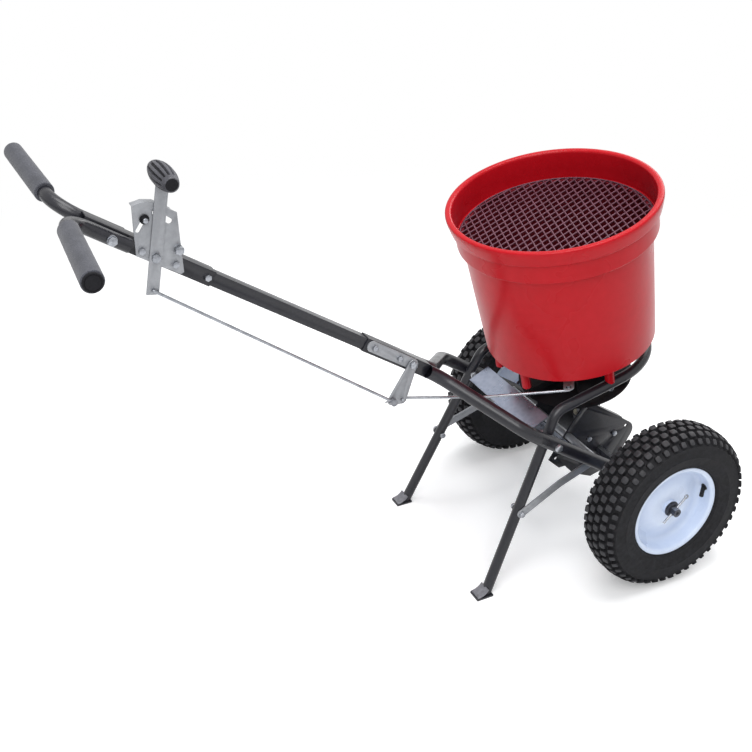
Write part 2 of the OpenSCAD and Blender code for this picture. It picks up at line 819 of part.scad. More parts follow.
module gate_rod() {
    rear = gate_pin_at(gate_y);
    color([0.86, 0.86, 0.87]) {
        in_boom_frame() {
            bar_between(rear, gate_bend, rod_r);
            translate(gate_bend) sphere(rod_r + elbow_swell);
            bar_between(gate_bend, gate_front, rod_r);
            translate(gate_front) sphere(rod_r + elbow_swell);
            translate(rear) sphere(rod_r + elbow_swell);
            bar_between(gate_pin_at(bell_y - 3), rear, rod_r);
        }
        in_hopper_frame() translate([ear[0], ear[1], gate_rod_h])
            cylinder(h = shutter_h + shutter_t + 3 - gate_rod_h, r = rod_r);
    }
}

// Lever group

module lever_plate() {
    outline = [
        [-74, 56], [-62, 68], [-46, 75], [-5, 76], [55, -4], [52, -9], [-28, -10.5], [-44, 12]
    ];
    flange = [
        [-74, 56], [-62, 68], [-46, 75], [-14, 75.5], [-14, 73], [-45.5, 72.5], [-60.5, 65.8],
        [-71.8, 54.5]
    ];
    flange_depth = 15;
    color([0.74, 0.75, 0.74]) in_boom_frame() translate([lever_pivot[0], 0, lever_pivot[1]]) {
        plate_xz(plate_y, plate_t) difference() {
            polygon(outline);
            circle(m8_r + bolt_gap);
            for (place = plate_bolts) translate(place - lever_pivot) circle(m6_r + bolt_gap);
            translate(front_stop - lever_pivot) circle(m8_r + bolt_gap);
            bar_2d([-stop_back, stop_slot_low], [-stop_back, stop_up + 2], 2 * m6_r + 1);
            bar_2d([-36, 62], [-9, 59], 9);
        }
        plate_xz(plate_y, flange_depth) polygon(flange);
    }
}

module lever() {
    color([0.70, 0.71, 0.70]) in_boom_frame() plate_xz(lever_y, lever_t)
        translate(lever_pivot) rotate(lever_lean) difference() {
            translate([-lever_w / 2, -foot_reach - lever_end])
                square([lever_w, foot_reach + lever_end + knob_reach + knob_hold]);
            circle(m8_r + running_gap);
            translate([0, -foot_reach]) circle(rod_r + running_gap);
        }
}

// An oval grip across the lever's top, cut square at both ends
module lever_knob() {
    half = knob_len / 2;
    long = half / sqrt(1 - pow(knob_end_r / knob_r, 2));
    steps = 14;
    curve = [for (i = [0 : steps]) let (y = -half + i * knob_len / steps)
        [knob_r * sqrt(1 - pow(y / long, 2)), y]];
    color([0.10, 0.10, 0.11]) in_boom_frame() difference() {
        translate([knob_axis[0], lever_y + lever_t / 2, knob_axis[1]]) rotate([90, 0, 0])
            rotate_extrude() polygon(concat([[0, -half]], curve, [[0, half]]));
        plate_xz(lever_y - running_gap, lever_t + 2 * running_gap)
            translate(lever_pivot) rotate(lever_lean)
            translate([-lever_w / 2 - running_gap, 0])
            square([lever_w + 2 * running_gap, knob_reach + knob_hold + running_gap]);
    }
}

module adjustable_stop() {
    y0 = plate_y - seat_gap;
    color([0.12, 0.12, 0.13]) in_boom_frame()
        translate([-stop_back, 0, stop_up] + [lever_pivot[0], 0, lever_pivot[1]]) {
            bar_y(y0 - washer_t, y0, stop_r);
            hex_y(y0 - washer_t - m6_head, y0 - washer_t, m6_across);
            bar_y(y0 - past, plate_y + plate_t + washer_t, m6_r);
            bar_y(plate_y + plate_t + seat_gap, plate_y + plate_t + 6, stop_r);
        }
}

// Bellcrank group

module bellcrank_bracket() {
    color([0.70, 0.71, 0.72]) in_boom_frame() plate_xz(bracket_y, bell_t) difference() {
        bar_2d(bracket_bolts[0] - [6, 0], bell_pivot + [2, 0], bracket_w);
        for (place = bracket_bolts) translate(place) circle(m6_r + bolt_gap);
        translate(bell_pivot) circle(m8_r + bolt_gap);
    }
}

module bellcrank() {
    color([0.70, 0.71, 0.72]) in_boom_frame() plate_xz(bell_y, bell_t) difference() {
        union() {
            bar_2d(bell_pivot, bell_rod_hole, bracket_w - 2);
            bar_2d(bell_pivot, bell_gate_hole, bracket_w - 2);
            bar_2d(bell_rod_hole, bell_gate_hole, bracket_w - 2);
        }
        translate(bell_pivot) circle(m8_r + running_gap);
        translate(bell_rod_hole) circle(m6_r + rod_play);
        translate(bell_gate_hole) circle(rod_r + rocking_gap);
    }
}

module control_rod() {
    run = bell_rod_hole - lever_foot;
    end = bell_rod_hole + run * (10 / norm(run));
    color([0.62, 0.63, 0.64]) in_boom_frame() {
        bar_between([lever_foot[0], rod_y, lever_foot[1]], [end[0], rod_y, end[1]], rod_r);
        translate([lever_foot[0], rod_y, lever_foot[1]]) sphere(rod_r + elbow_swell);
        translate([lever_foot[0], 0, lever_foot[1]]) bar_y(rod_y, lever_y + lever_t + 3, rod_r);
    }
}

// A barrel on the control rod whose pin stands loosely in the bellcrank
module swivel() {
    run = bell_rod_hole - lever_foot;
    color([0.66, 0.67, 0.68]) in_boom_frame() difference() {
        translate([bell_rod_hole[0], 0, bell_rod_hole[1]]) {
            bar_y(rod_y - 6, bell_y - face_gap, 6.5);
            bar_y(bell_y - past, bell_y + bell_t + 5, m6_r);
            translate([0, bell_y + bell_t + 3, 0]) rotate([0, 35, 0])
                translate([0, 0, -12]) cylinder(h = 24, r = 1.2);
        }
        translate([bell_rod_hole[0], rod_y, bell_rod_hole[1]]) rotate([0, 90, 0])
            rotate([0, -atan2(run[1], run[0]), 0]) translate([0, 0, -20])
            cylinder(h = 40, r = rod_r + running_gap);
    }
}

// Handle

module handle_run(r, extra) {
    translate([extra - handle_foot, handle_y, 0]) mirror([1, 0, 0])
        pipe_ahead(handle_corner - bend_run - handle_foot + extra, r, 0, bend_lap)
        pipe_bend(handle_bend_r, handle_turn, r)
        pipe_ahead(grip_end + extra, r, bend_lap, 0);
}

// The left grip's frame: +Z runs outwards from the end of the handle's bend
module in_grip_frame() {
    translate([bend_end_x, bend_end_y, 0]) rotate([-90, 0, grip_sweep]) children();
}

module handle_tube(side) {
    color([0.12, 0.12, 0.14]) in_boom_frame() on_side(side) difference() {
        handle_run(handle_r, 0);
        handle_run(handle_r - tube_wall, past);
        translate([-handle_bolt_s, 0, 0]) bar_y(0, 2 * handle_y, m8_r + bolt_gap);
    }
}

module handle_tube_right() { handle_tube(RIGHT); }
module handle_tube_left() { handle_tube(LEFT); }

module grip(side) {
    color([0.20, 0.20, 0.21]) in_boom_frame() on_side(side) in_grip_frame()
        translate([0, 0, grip_start]) difference() {
            cylinder(h = grip_len, r = grip_r);
            translate([0, 0, -past]) cylinder(h = grip_len + 2 * past, r = handle_r + running_gap);
        }
}

module grip_right() { grip(RIGHT); }
module grip_left() { grip(LEFT); }

module grip_plugs() {
    color([0.06, 0.06, 0.07]) in_boom_frame() on_both_sides() in_grip_frame()
        translate([0, 0, grip_end]) {
            translate([0, 0, -18]) cylinder(h = 18 + past, r = handle_r - tube_wall - running_gap);
            translate([0, 0, running_gap]) cylinder(h = plug_t, r = handle_r + 2.5);
        }
}

module saddle_washers() {
    size = 16;
    color([0.62, 0.63, 0.64]) in_boom_frame() on_both_sides()
        translate([-handle_bolt_s, 0, 0]) difference() {
            bar_y(handle_y + handle_r - 3, handle_bolt_out, size / 2);
            translate([-size, handle_y, 0]) rotate([0, 90, 0])
                cylinder(h = 2 * size, r = handle_r + seat_gap);
            bar_y(handle_y, handle_bolt_out + past, m8_r + bolt_gap);
        }
}

// Drive

module case_screw_places() {
    for (a = case_screw_angles) rotate([0, -a, 0]) translate([case_screw_ring, 0, 0]) children();
}

module gear_case(side) {
    color([0.45, 0.46, 0.47]) in_hopper_frame() on_side(side) difference() {
        union() {
            bar_y(seat_gap / 2, case_half, case_r);
            intersection() {
                cylinder(h = neck_top, r = neck_r);
                translate([-neck_r, seat_gap / 2, case_r / 2]) cube([2 * neck_r, neck_r, case_r]);
            }
        }
        bar_y(-past, case_half - case_wall, cavity_r);
        bar_y(-past, case_half + past, axle_r + running_gap);
        translate([0, 0, cavity_r - 4]) cylinder(h = neck_top, r = bush_r + running_gap);
        case_screw_places() bar_y(-past, case_half + past, m6_r + bolt_gap);
    }
}

module gear_case_right() { gear_case(RIGHT); }
module gear_case_left() { gear_case(LEFT); }

module shaft_bush() {
    color([0.85, 0.84, 0.78]) in_hopper_frame() difference() {
        union() {
            translate([0, 0, cavity_r - 2]) cylinder(h = neck_top - cavity_r + 3, r = bush_r);
            translate([0, 0, neck_top + seat_gap]) cylinder(h = flange_t, r = bush_r + 4);
        }
        cylinder(h = neck_top * 2, r = shaft_r + running_gap);
    }
}

// A disc with blocks on its inner face that the pinion's teeth run between
module crown_gear() {
    color([0.55, 0.50, 0.40]) in_hopper_frame() difference() {
        union() {
            bar_y(crown_disc, crown_disc + crown_t, crown_r + 6);
            bar_y(crown_disc, crown_hub_end, crown_hub_r);
            for (i = [0 : crown_teeth - 1]) rotate([0, i * 360 / crown_teeth, 0])
                translate([-tooth_half * 0.9, pinion_r - tooth_up, crown_r - gear_face / 2])
                cube([2 * tooth_half * 0.9, tooth_up + tooth_down + past / 2, gear_face]);
        }
        bar_y(0, 2 * crown_hub_end, axle_r + running_gap);
        translate([0, gear_pin_y, -2 * crown_hub_r])
            cylinder(h = 4 * crown_hub_r, r = gear_pin_r + running_gap);
    }
}

module pinion() {
    pitch = 360 / pinion_teeth;
    root = pinion_r - tooth_down;
    tip = pinion_r + tooth_up;
    color([0.62, 0.60, 0.52]) in_hopper_frame() translate([0, 0, crown_r - gear_face / 2 - 1])
        difference() {
            linear_extrude(gear_face + 2) union() {
                circle(root + 0.1);
                for (i = [0 : pinion_teeth - 1]) rotate((i + 0.5) * pitch + 90)
                    polygon([
                        [root - 1, -tooth_half * 1.2], [tip, -tooth_half * 0.6],
                        [tip, tooth_half * 0.6], [root - 1, tooth_half * 1.2]
                    ]);
            }
            translate([0, 0, -past]) cylinder(h = gear_face + 4, r = shaft_r - 0.5);
        }
}

module impeller_shaft() {
    neck = crown_r - gear_face / 2 - 1;
    color([0.72, 0.73, 0.74]) in_hopper_frame() difference() {
        union() {
            translate([0, 0, neck]) cylinder(h = gear_face + 3, r = shaft_r - 0.5 - running_gap);
            translate([0, 0, neck + gear_face + 2 + running_gap])
                cylinder(h = shaft_top - neck - gear_face - 2, r = shaft_r);
        }
        translate([0, 0, shaft_top - 10]) rotate([0, 90, 0]) translate([0, 0, -2 * shaft_r])
            cylinder(h = 4 * shaft_r, r = gear_pin_r + running_gap);
    }
}

module impeller() {
    hub = 16;
    hub_h = 28;
    color([0.13, 0.13, 0.15]) in_hopper_frame() translate([0, 0, impeller_h]) difference() {
        union() {
            cylinder(h = impeller_t, r = impeller_r);
            translate([0, 0, -4]) cylinder(h = hub_h, r = hub);
            for (i = [0 : vane_count - 1]) rotate(i * 360 / vane_count)
                translate([hub - 2, -1.5, impeller_t / 2])
                cube([impeller_r - hub, 3, vane_h + impeller_t / 2]);
        }
        translate([0, 0, -5]) cylinder(h = hub_h + 2, r = shaft_r + running_gap / 2);
    }
}

module agitator() {
    color([0.72, 0.73, 0.74]) in_hopper_frame() translate([0, 0, shaft_top - 10])
        rotate([0, 90, 0]) translate([0, 0, -36]) cylinder(h = 72, r = gear_pin_r);
}

// Axle and wheels

module split_pin_axis() {
    rotate([0, -pin_slope, 0]) children();
}

module axle() {
    color([0.66, 0.67, 0.68]) at_axle() difference() {
        bar_y(-axle_len / 2, axle_len / 2, axle_r);
        on_both_sides() {
            bar_y(axle_len / 2 - centre_depth, axle_len / 2 + past, 3);
            translate([0, split_pin_y, 0]) split_pin_axis()
                rotate([0, 90, 0]) translate([0, 0, -2 * axle_r])
                cylinder(h = 4 * axle_r, r = gear_pin_r + running_gap);
        }
        translate([0, gear_pin_y, 0]) rotate([0, -hopper_lean, 0])
            translate([0, 0, -2 * axle_r])
            cylinder(h = 4 * axle_r, r = gear_pin_r + running_gap);
    }
}

module axle_pins() {
    eye_r = 5;
    wire_r = 1.4;
    color([0.78, 0.79, 0.80]) {
        at_axle() on_both_sides() translate([0, split_pin_y, 0]) split_pin_axis() {
            rotate([0, 90, 0]) translate([0, 0, -pin_len / 2])
                cylinder(h = pin_len, r = gear_pin_r);
            translate([pin_len / 2 + eye_r - wire_r, 0, 0]) rotate([90, 0, 0]) rotate_extrude()
                translate([eye_r - wire_r, 0]) circle(wire_r);
        }
        in_hopper_frame() translate([0, gear_pin_y, -crown_hub_r])
            cylinder(h = 2 * crown_hub_r, r = gear_pin_r);
    }
}

module axle_bushes() {
    out = rail_face_out + seat_gap;
    color([0.80, 0.80, 0.76]) at_axle() on_both_sides() difference() {
        union() {
            bar_y(rail_face_in - 2, out + past, axle_r + 2.5 - running_gap);
            bar_y(out, out + flange_t, axle_r + 5);
        }
        bar_y(rail_face_in - 3, out + 2 * flange_t, axle_r + running_gap);
    }
}

module axle_spacers() {
    start = rail_face_out + flange_t + 3 * seat_gap;
    end = wheel_y - hub_len / 2 - flange_t - 2 * seat_gap;
    color([0.60, 0.61, 0.62]) at_axle() on_both_sides() difference() {
        bar_y(start, end, axle_r + 3);
        bar_y(start - past, end + past, axle_r + running_gap / 2);
    }
}

module axle_washers() {
    start = outer_washer_y;
    color([0.72, 0.73, 0.74]) at_axle() on_both_sides() difference() {
        bar_y(start, start + washer_t, hub_r - 1);
        bar_y(start - past, start + washer_t + past, axle_r + running_gap / 2);
    }
}

// One wheel's frame: +Z points outwards along the axle from the wheel's middle plane
module in_wheel_frame(side) {
    at_axle() on_side(side) translate([0, wheel_y, 0]) rotate([-90, 0, 0]) children();
}

// An outline on one side of a middle plane, closed by its mirror image
function mirrored(points) = concat(points,
    [for (i = [len(points) - 1 : -1 : 0]) [points[i][0], -points[i][1]]]);

seat_r = rim_r - 7.7;
bead_half = rim_w / 2 - rim_t - seat_gap;
half_tyre = tyre_w / 2;
bead_round = 0.9;
tyre_outline = [
    [seat_r + seat_gap, bead_half - bead_round], [seat_r + bead_round, bead_half],
    [rim_r, bead_half], [rim_r + 10, half_tyre - 5],
    [rim_r + 24, half_tyre - 1], [tyre_r - 34, half_tyre], [tyre_r - 18, half_tyre],
    [tyre_r - 9, half_tyre - 5], [tyre_r - 3, half_tyre - 13], [tyre_r, half_tyre - 23]
];
tyre_cavity = [
    [seat_r + seat_gap, bead_half - tyre_wall], [rim_r + 4, bead_half - tyre_wall],
    [rim_r + 14, half_tyre - 5 - tyre_wall], [rim_r + 28, half_tyre - tyre_wall],
    [tyre_r - 30, half_tyre - tyre_wall], [tyre_r - 18, half_tyre - 8 - tyre_wall],
    [tyre_r - 13, half_tyre - 23]
];

module tyre(side) {
    color([0.14, 0.14, 0.15]) in_wheel_frame(side) rotate_extrude($fn = 96) polygon(
        concat(mirrored(tyre_outline), [for (p = mirrored(tyre_cavity)) [p[0], -p[1]]]));
}

module tyre_right() { tyre(RIGHT); }
module tyre_left() { tyre(LEFT); }

// One pressed half of the rim, from the middle plane outwards
rim_outline = [
    [rim_r, rim_w / 2], [seat_r, rim_w / 2], [seat_r - rim_t, rim_w / 2 - rim_t],
    [seat_r - rim_t, rim_t + seat_gap], [seat_r - 10, rim_t + seat_gap], [46, 13], [25, 15],
    [hub_r + seat_gap, 15], [hub_r + seat_gap, 15 - rim_t], [25, 15 - rim_t],
    [45.5, 13 - rim_t], [seat_r - 10, seat_gap], [seat_r, seat_gap],
    [seat_r, rim_w / 2 - rim_t - 0.6], [seat_r + 0.6, rim_w / 2 - rim_t], [rim_r, rim_w / 2 - rim_t]
];

module rim(side) {
    color([0.93, 0.94, 0.97]) in_wheel_frame(side) for (flip = [0, 1]) mirror([0, 0, flip])
        difference() {
            rotate_extrude($fn = 96) polygon(rim_outline);
            rotate(-15) translate([seat_r - 6, 0, rim_w / 4]) rotate([0, 90, 0])
                cylinder(h = 12, r = 4.2);
        }
}

module rim_right() { rim(RIGHT); }
module rim_left() { rim(LEFT); }

module hub(side) {
    color([0.90, 0.91, 0.93]) in_wheel_frame(side) difference() {
        translate([0, 0, -hub_len / 2]) cylinder(h = hub_len, r = hub_r);
        translate([0, 0, -hub_len]) cylinder(h = 2 * hub_len, r = hub_r - 3.5);
    }
}

module hub_right() { hub(RIGHT); }
module hub_left() { hub(LEFT); }

module hub_bushes(side) {
    color([0.55, 0.56, 0.58]) in_wheel_frame(side) for (flip = [0, 1]) mirror([0, 0, flip])
        difference() {
            union() {
                translate([0, 0, hub_len / 2 - 16]) cylinder(h = 17, r = hub_r - 3.5 - running_gap);
                translate([0, 0, hub_len / 2 + seat_gap]) cylinder(h = flange_t, r = hub_r);
            }
            cylinder(h = hub_len, r = axle_r + running_gap);
        }
}

module hub_bushes_right() { hub_bushes(RIGHT); }
module hub_bushes_left() { hub_bushes(LEFT); }

// The stem leaves the rim's drum inwards and leans out
module valve(side) {
    stem_r = 3.8;
    lean = 38;
    color([0.10, 0.10, 0.11]) in_wheel_frame(side) rotate(-15) {
        translate([seat_r - rim_t - 4, 0, rim_w / 4]) rotate([0, 90, 0])
            cylinder(h = rim_t + 4.4, r = stem_r);
        translate([seat_r - rim_t - 2.2, 0, rim_w / 4]) rotate([0, 90, 0])
            cylinder(h = 2, r = stem_r + 2.4);
        translate([seat_r - rim_t - 3, 0, rim_w / 4]) rotate([0, lean - 90, 0])
            cylinder(h = 22, r = stem_r);
    }
}

module valve_right() { valve(RIGHT); }
module valve_left() { valve(LEFT); }

// Fasteners, each kind in one group

module m8_bolts() {
    color([0.74, 0.75, 0.76]) in_boom_frame() {
        on_both_sides() {
            translate([leg_bolt[0], 0, 0]) mirror([0, 1, 0]) bolt_y(m8_r, m8_across, m8_head,
                -rail_face_out - seat_gap, -leg_bolt[1] + hoop_tube_r + m8_nut + 3);
            translate([-cross_rod_s, 0, 0]) mirror([0, 1, 0]) bolt_y(m8_r, m8_across, m8_head,
                -rail_face_out - seat_gap, -rail_face_in + 24);
        }
        translate([-handle_bolt_s, 0, 0]) bolt_y(m8_r, m8_across, m8_head,
            -handle_bolt_out - seat_gap, handle_bolt_out + m8_nut + 2);
        translate([lever_pivot[0], 0, lever_pivot[1]]) bolt_y(m8_r, m8_across, m8_head,
            lever_y - face_gap, boom_face + m8_nut + 2);
        translate([bell_pivot[0], 0, bell_pivot[1]]) bolt_y(m8_r, m8_across, m8_head,
            bell_y - face_gap, boom_face + m8_nut + 2);
        translate([front_stop[0], 0, front_stop[1]]) bolt_y(m8_r, m8_across, m8_head + 2,
            plate_y - seat_gap, plate_y + plate_t + m8_nut + 2);
    }
}

module m8_nuts() {
    color([0.74, 0.75, 0.76]) in_boom_frame() {
        on_both_sides() translate([leg_bolt[0], 0, 0]) mirror([0, 1, 0])
            nut_y(m8_r, m8_across, m8_nut, -leg_bolt[1] + hoop_tube_r + 1);
        translate([-handle_bolt_s, 0, 0])
            nut_y(m8_r, m8_across, m8_nut, handle_bolt_out + seat_gap);
        for (place = [lever_pivot, bell_pivot]) translate([place[0], 0, place[1]])
            nut_y(m8_r, m8_across, m8_nut, boom_face + seat_gap);
        translate([front_stop[0], 0, front_stop[1]])
            nut_y(m8_r, m8_across, m8_nut, plate_y + plate_t + seat_gap);
    }
}

module m6_bolts() {
    color([0.74, 0.75, 0.76]) {
        in_boom_frame() {
            for (place = bracket_bolts) translate([place[0], 0, place[1]])
                bolt_y(m6_r, m6_across, m6_head, bracket_y - seat_gap, boom_face + m6_nut + 2);
            for (place = plate_bolts) translate([place[0], 0, place[1]])
                bolt_y(m6_r, m6_across, m6_head, plate_y - seat_gap, boom_face + m6_nut + 2);
            translate([joint_bolt[0], 0, joint_bolt[1]])
                bolt_y(m6_r, m6_across, m6_head, -boom_face - seat_gap, boom_face + m6_nut + 2);
            on_both_sides() translate([brace_bolt[0], 0, brace_bolt[2]]) mirror([0, 1, 0])
                bolt_y(m6_r, m6_across, m6_head, -brace_y - brace_t / 2 - 0.4,
                    -brace_bolt[1] + hoop_tube_r + m6_nut + 3);
        }
        in_hopper_frame() {
            case_screw_places() bolt_y(m6_r, m6_across, m6_head,
                -case_half - side_plate_t - seat_gap, case_half + side_plate_t + m6_nut + 2);
            for (place = post_places)
                translate([place[0], place[1], hoop_h - hoop_tube_r - seat_gap])
                rotate([90, 0, 0]) bolt_y(m6_r, m6_across, m6_head, 0, post_screw_len - 2);
        }
    }
}

module m6_nuts() {
    color([0.74, 0.75, 0.76]) {
        in_boom_frame() {
            for (place = concat(bracket_bolts, plate_bolts, [joint_bolt]))
                translate([place[0], 0, place[1]])
                nut_y(m6_r, m6_across, m6_nut, boom_face + seat_gap);
            on_both_sides() translate([brace_bolt[0], 0, brace_bolt[2]]) mirror([0, 1, 0])
                nut_y(m6_r, m6_across, m6_nut, -brace_bolt[1] + hoop_tube_r + 1);
        }
        in_hopper_frame() case_screw_places()
            nut_y(m6_r, m6_across, m6_nut, case_half + side_plate_t + seat_gap);
    }
}

lower_boom();
middle_boom();
upper_boom();
rail_right();
rail_left();
hoop();
leg_right();
leg_left();
brace_right();
brace_left();
cross_rod();
side_plate_right();
side_plate_left();
deflector();
hopper();
screen();
shutter();
shutter_ring();
handle_tube_right();
handle_tube_left();
grip_right();
grip_left();
grip_plugs();
saddle_washers();
lever_plate();
lever();
lever_knob();
adjustable_stop();
bellcrank_bracket();
bellcrank();
control_rod();
swivel();
gate_rod();
gear_case_right();
gear_case_left();
crown_gear();
pinion();
impeller_shaft();
shaft_bush();
impeller();
agitator();
axle();
axle_spacers();
axle_bushes();
axle_washers();
axle_pins();
tyre_right();
tyre_left();
rim_right();
rim_left();
hub_right();
hub_left();
hub_bushes_right();
hub_bushes_left();
valve_right();
valve_left();
m8_bolts();
m8_nuts();
m6_bolts();
m6_nuts();
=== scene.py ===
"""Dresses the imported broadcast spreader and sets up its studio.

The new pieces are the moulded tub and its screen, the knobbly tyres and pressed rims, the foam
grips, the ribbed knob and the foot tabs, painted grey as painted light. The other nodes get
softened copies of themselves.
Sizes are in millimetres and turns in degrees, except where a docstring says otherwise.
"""

import json
import logging
import math
from dataclasses import dataclass
from enum import Enum
from typing import Any, Callable, Mapping, Optional, Sequence

import bmesh
import bpy
from mathutils import Matrix, Vector

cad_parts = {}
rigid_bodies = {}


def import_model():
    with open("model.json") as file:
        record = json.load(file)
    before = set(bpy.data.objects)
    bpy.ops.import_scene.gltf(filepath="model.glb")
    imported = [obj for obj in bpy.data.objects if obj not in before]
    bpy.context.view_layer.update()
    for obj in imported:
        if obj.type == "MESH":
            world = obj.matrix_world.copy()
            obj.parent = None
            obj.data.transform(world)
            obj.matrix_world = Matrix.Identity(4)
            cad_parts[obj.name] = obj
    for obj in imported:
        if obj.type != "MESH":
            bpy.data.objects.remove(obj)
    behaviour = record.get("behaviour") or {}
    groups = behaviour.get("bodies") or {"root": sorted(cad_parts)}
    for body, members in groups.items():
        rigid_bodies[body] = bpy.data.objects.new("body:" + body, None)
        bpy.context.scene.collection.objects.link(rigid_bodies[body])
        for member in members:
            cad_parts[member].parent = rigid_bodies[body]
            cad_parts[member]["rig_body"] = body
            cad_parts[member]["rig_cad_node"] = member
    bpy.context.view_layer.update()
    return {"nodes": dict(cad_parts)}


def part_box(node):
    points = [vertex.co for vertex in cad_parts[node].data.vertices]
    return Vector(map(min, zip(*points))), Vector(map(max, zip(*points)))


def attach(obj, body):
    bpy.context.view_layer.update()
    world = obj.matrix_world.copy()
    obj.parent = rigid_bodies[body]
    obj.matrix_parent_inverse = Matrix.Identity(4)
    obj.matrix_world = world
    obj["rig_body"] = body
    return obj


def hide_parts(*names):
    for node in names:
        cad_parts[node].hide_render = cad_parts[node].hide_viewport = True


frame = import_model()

log = logging.getLogger("spreader")

Pair = tuple[float, float]
Triple = tuple[float, float, float]
FaceTest = Callable[[Vector, Vector], bool]

MM = 0.001
# The tub leans back over the axle, and the boom rises from the tub's own frame
LEAN = math.radians(13.6)
BOOM_RISE = math.radians(47.1)
# The middle of the axle line
AXLE = Vector((434.552 * MM, 0.0, 163.0 * MM))

# The share of a face's normal along the way that it looks, squarely or roughly
SQUARELY = 0.9
ROUGHLY = 0.5
# How near loose corners lie to be merged, on copied solids and on turned pieces
SOLID_WELD = 0.004 * MM
TURNED_WELD = 0.01 * MM
# Neighbouring facets of a copied solid within this angle become one face
FLAT_ANGLE = math.radians(0.4)
# The most of a side that a rounded corner takes up
CORNER_SHARE = 0.49

# The pattern values between which the fleck colour comes in, and between which the gloss swings
FLECK_RANGE = (0.12, 0.42)
GLOSS_RANGE = (0.3, 0.7)
# The smoothest that a swing makes a surface, the weight of its relief, and its clear coat's haze
LEAST_ROUGHNESS = 0.03
RELIEF_STRENGTH = 0.6
COAT_ROUGHNESS = 0.12
# The colour sockets of a Mix node, which share their names with those of its other types
MIX_FIRST, MIX_SECOND, MIX_RESULT = 6, 7, 2

HOPPER_FRAME = Matrix.Translation(AXLE) @ Matrix.Rotation(-LEAN, 4, "Y")
BOOM_FRAME = HOPPER_FRAME @ Matrix.Rotation(BOOM_RISE, 4, "Y")


class Side(Enum):
    """Which side of the machine a piece is on, as the sign of its Y."""

    RIGHT = -1
    LEFT = 1

    @property
    def tag(self) -> str:
        """The side's name in node names."""
        return self.name.lower()


class Pattern(Enum):
    """How a layer of a finish is made: its kind of node, the output it gives and its settings."""

    CLOUD = ("ShaderNodeTexNoise", "Fac", {"Detail": 3.0, "Roughness": 0.55})
    GRAIN = ("ShaderNodeTexNoise", "Fac", {"Detail": 5.0, "Roughness": 0.6})
    SKIN = ("ShaderNodeTexNoise", "Fac", {"Detail": 2.0})
    CELLS = ("ShaderNodeTexVoronoi", "Distance", {})


def linear(hex_code: str) -> tuple[float, float, float, float]:
    """Turns an sRGB hex colour into the linear values that shaders use.

    Args:
        hex_code: Six hex digits after a hash sign.

    Returns:
        Red, green, blue and a full alpha.
    """
    parts = [int(hex_code[i : i + 2], 16) / 255 for i in (1, 3, 5)]
    # The sRGB curve is straight near black and a power above that
    red, green, blue = (p / 12.92 if p <= 0.04045 else ((p + 0.055) / 1.055) ** 2.4 for p in parts)
    return red, green, blue, 1.0


def add_node(
    tree: bpy.types.NodeTree,
    kind: str,
    values: Optional[Mapping[Any, Any]] = None,
    links: Optional[Mapping[Any, bpy.types.NodeSocket]] = None,
    **settings: Any,
) -> bpy.types.Node:
    """Adds a node with its settings, input values and input links.

    Args:
        tree: The node tree that the node goes into.
        kind: The node's type name.
        values: Input names and the values they hold.
        links: Input names and the sockets they read.
        settings: Attributes of the node itself.

    Returns:
        The new node.
    """
    node = tree.nodes.new(kind)
    for name, value in settings.items():
        setattr(node, name, value)
    for name, value in (values or {}).items():
        node.inputs[name].default_value = value
    for name, socket in (links or {}).items():
        tree.links.new(socket, node.inputs[name])
    return node


def cleared_tree(owner: bpy.types.Material | bpy.types.World) -> bpy.types.NodeTree:
    """Turns on the nodes of a material or world and removes those it starts with.

    Args:
        owner: The material or world.

    Returns:
        Its empty node tree.
    """
    owner.use_nodes = True
    owner.node_tree.nodes.clear()
    return owner.node_tree


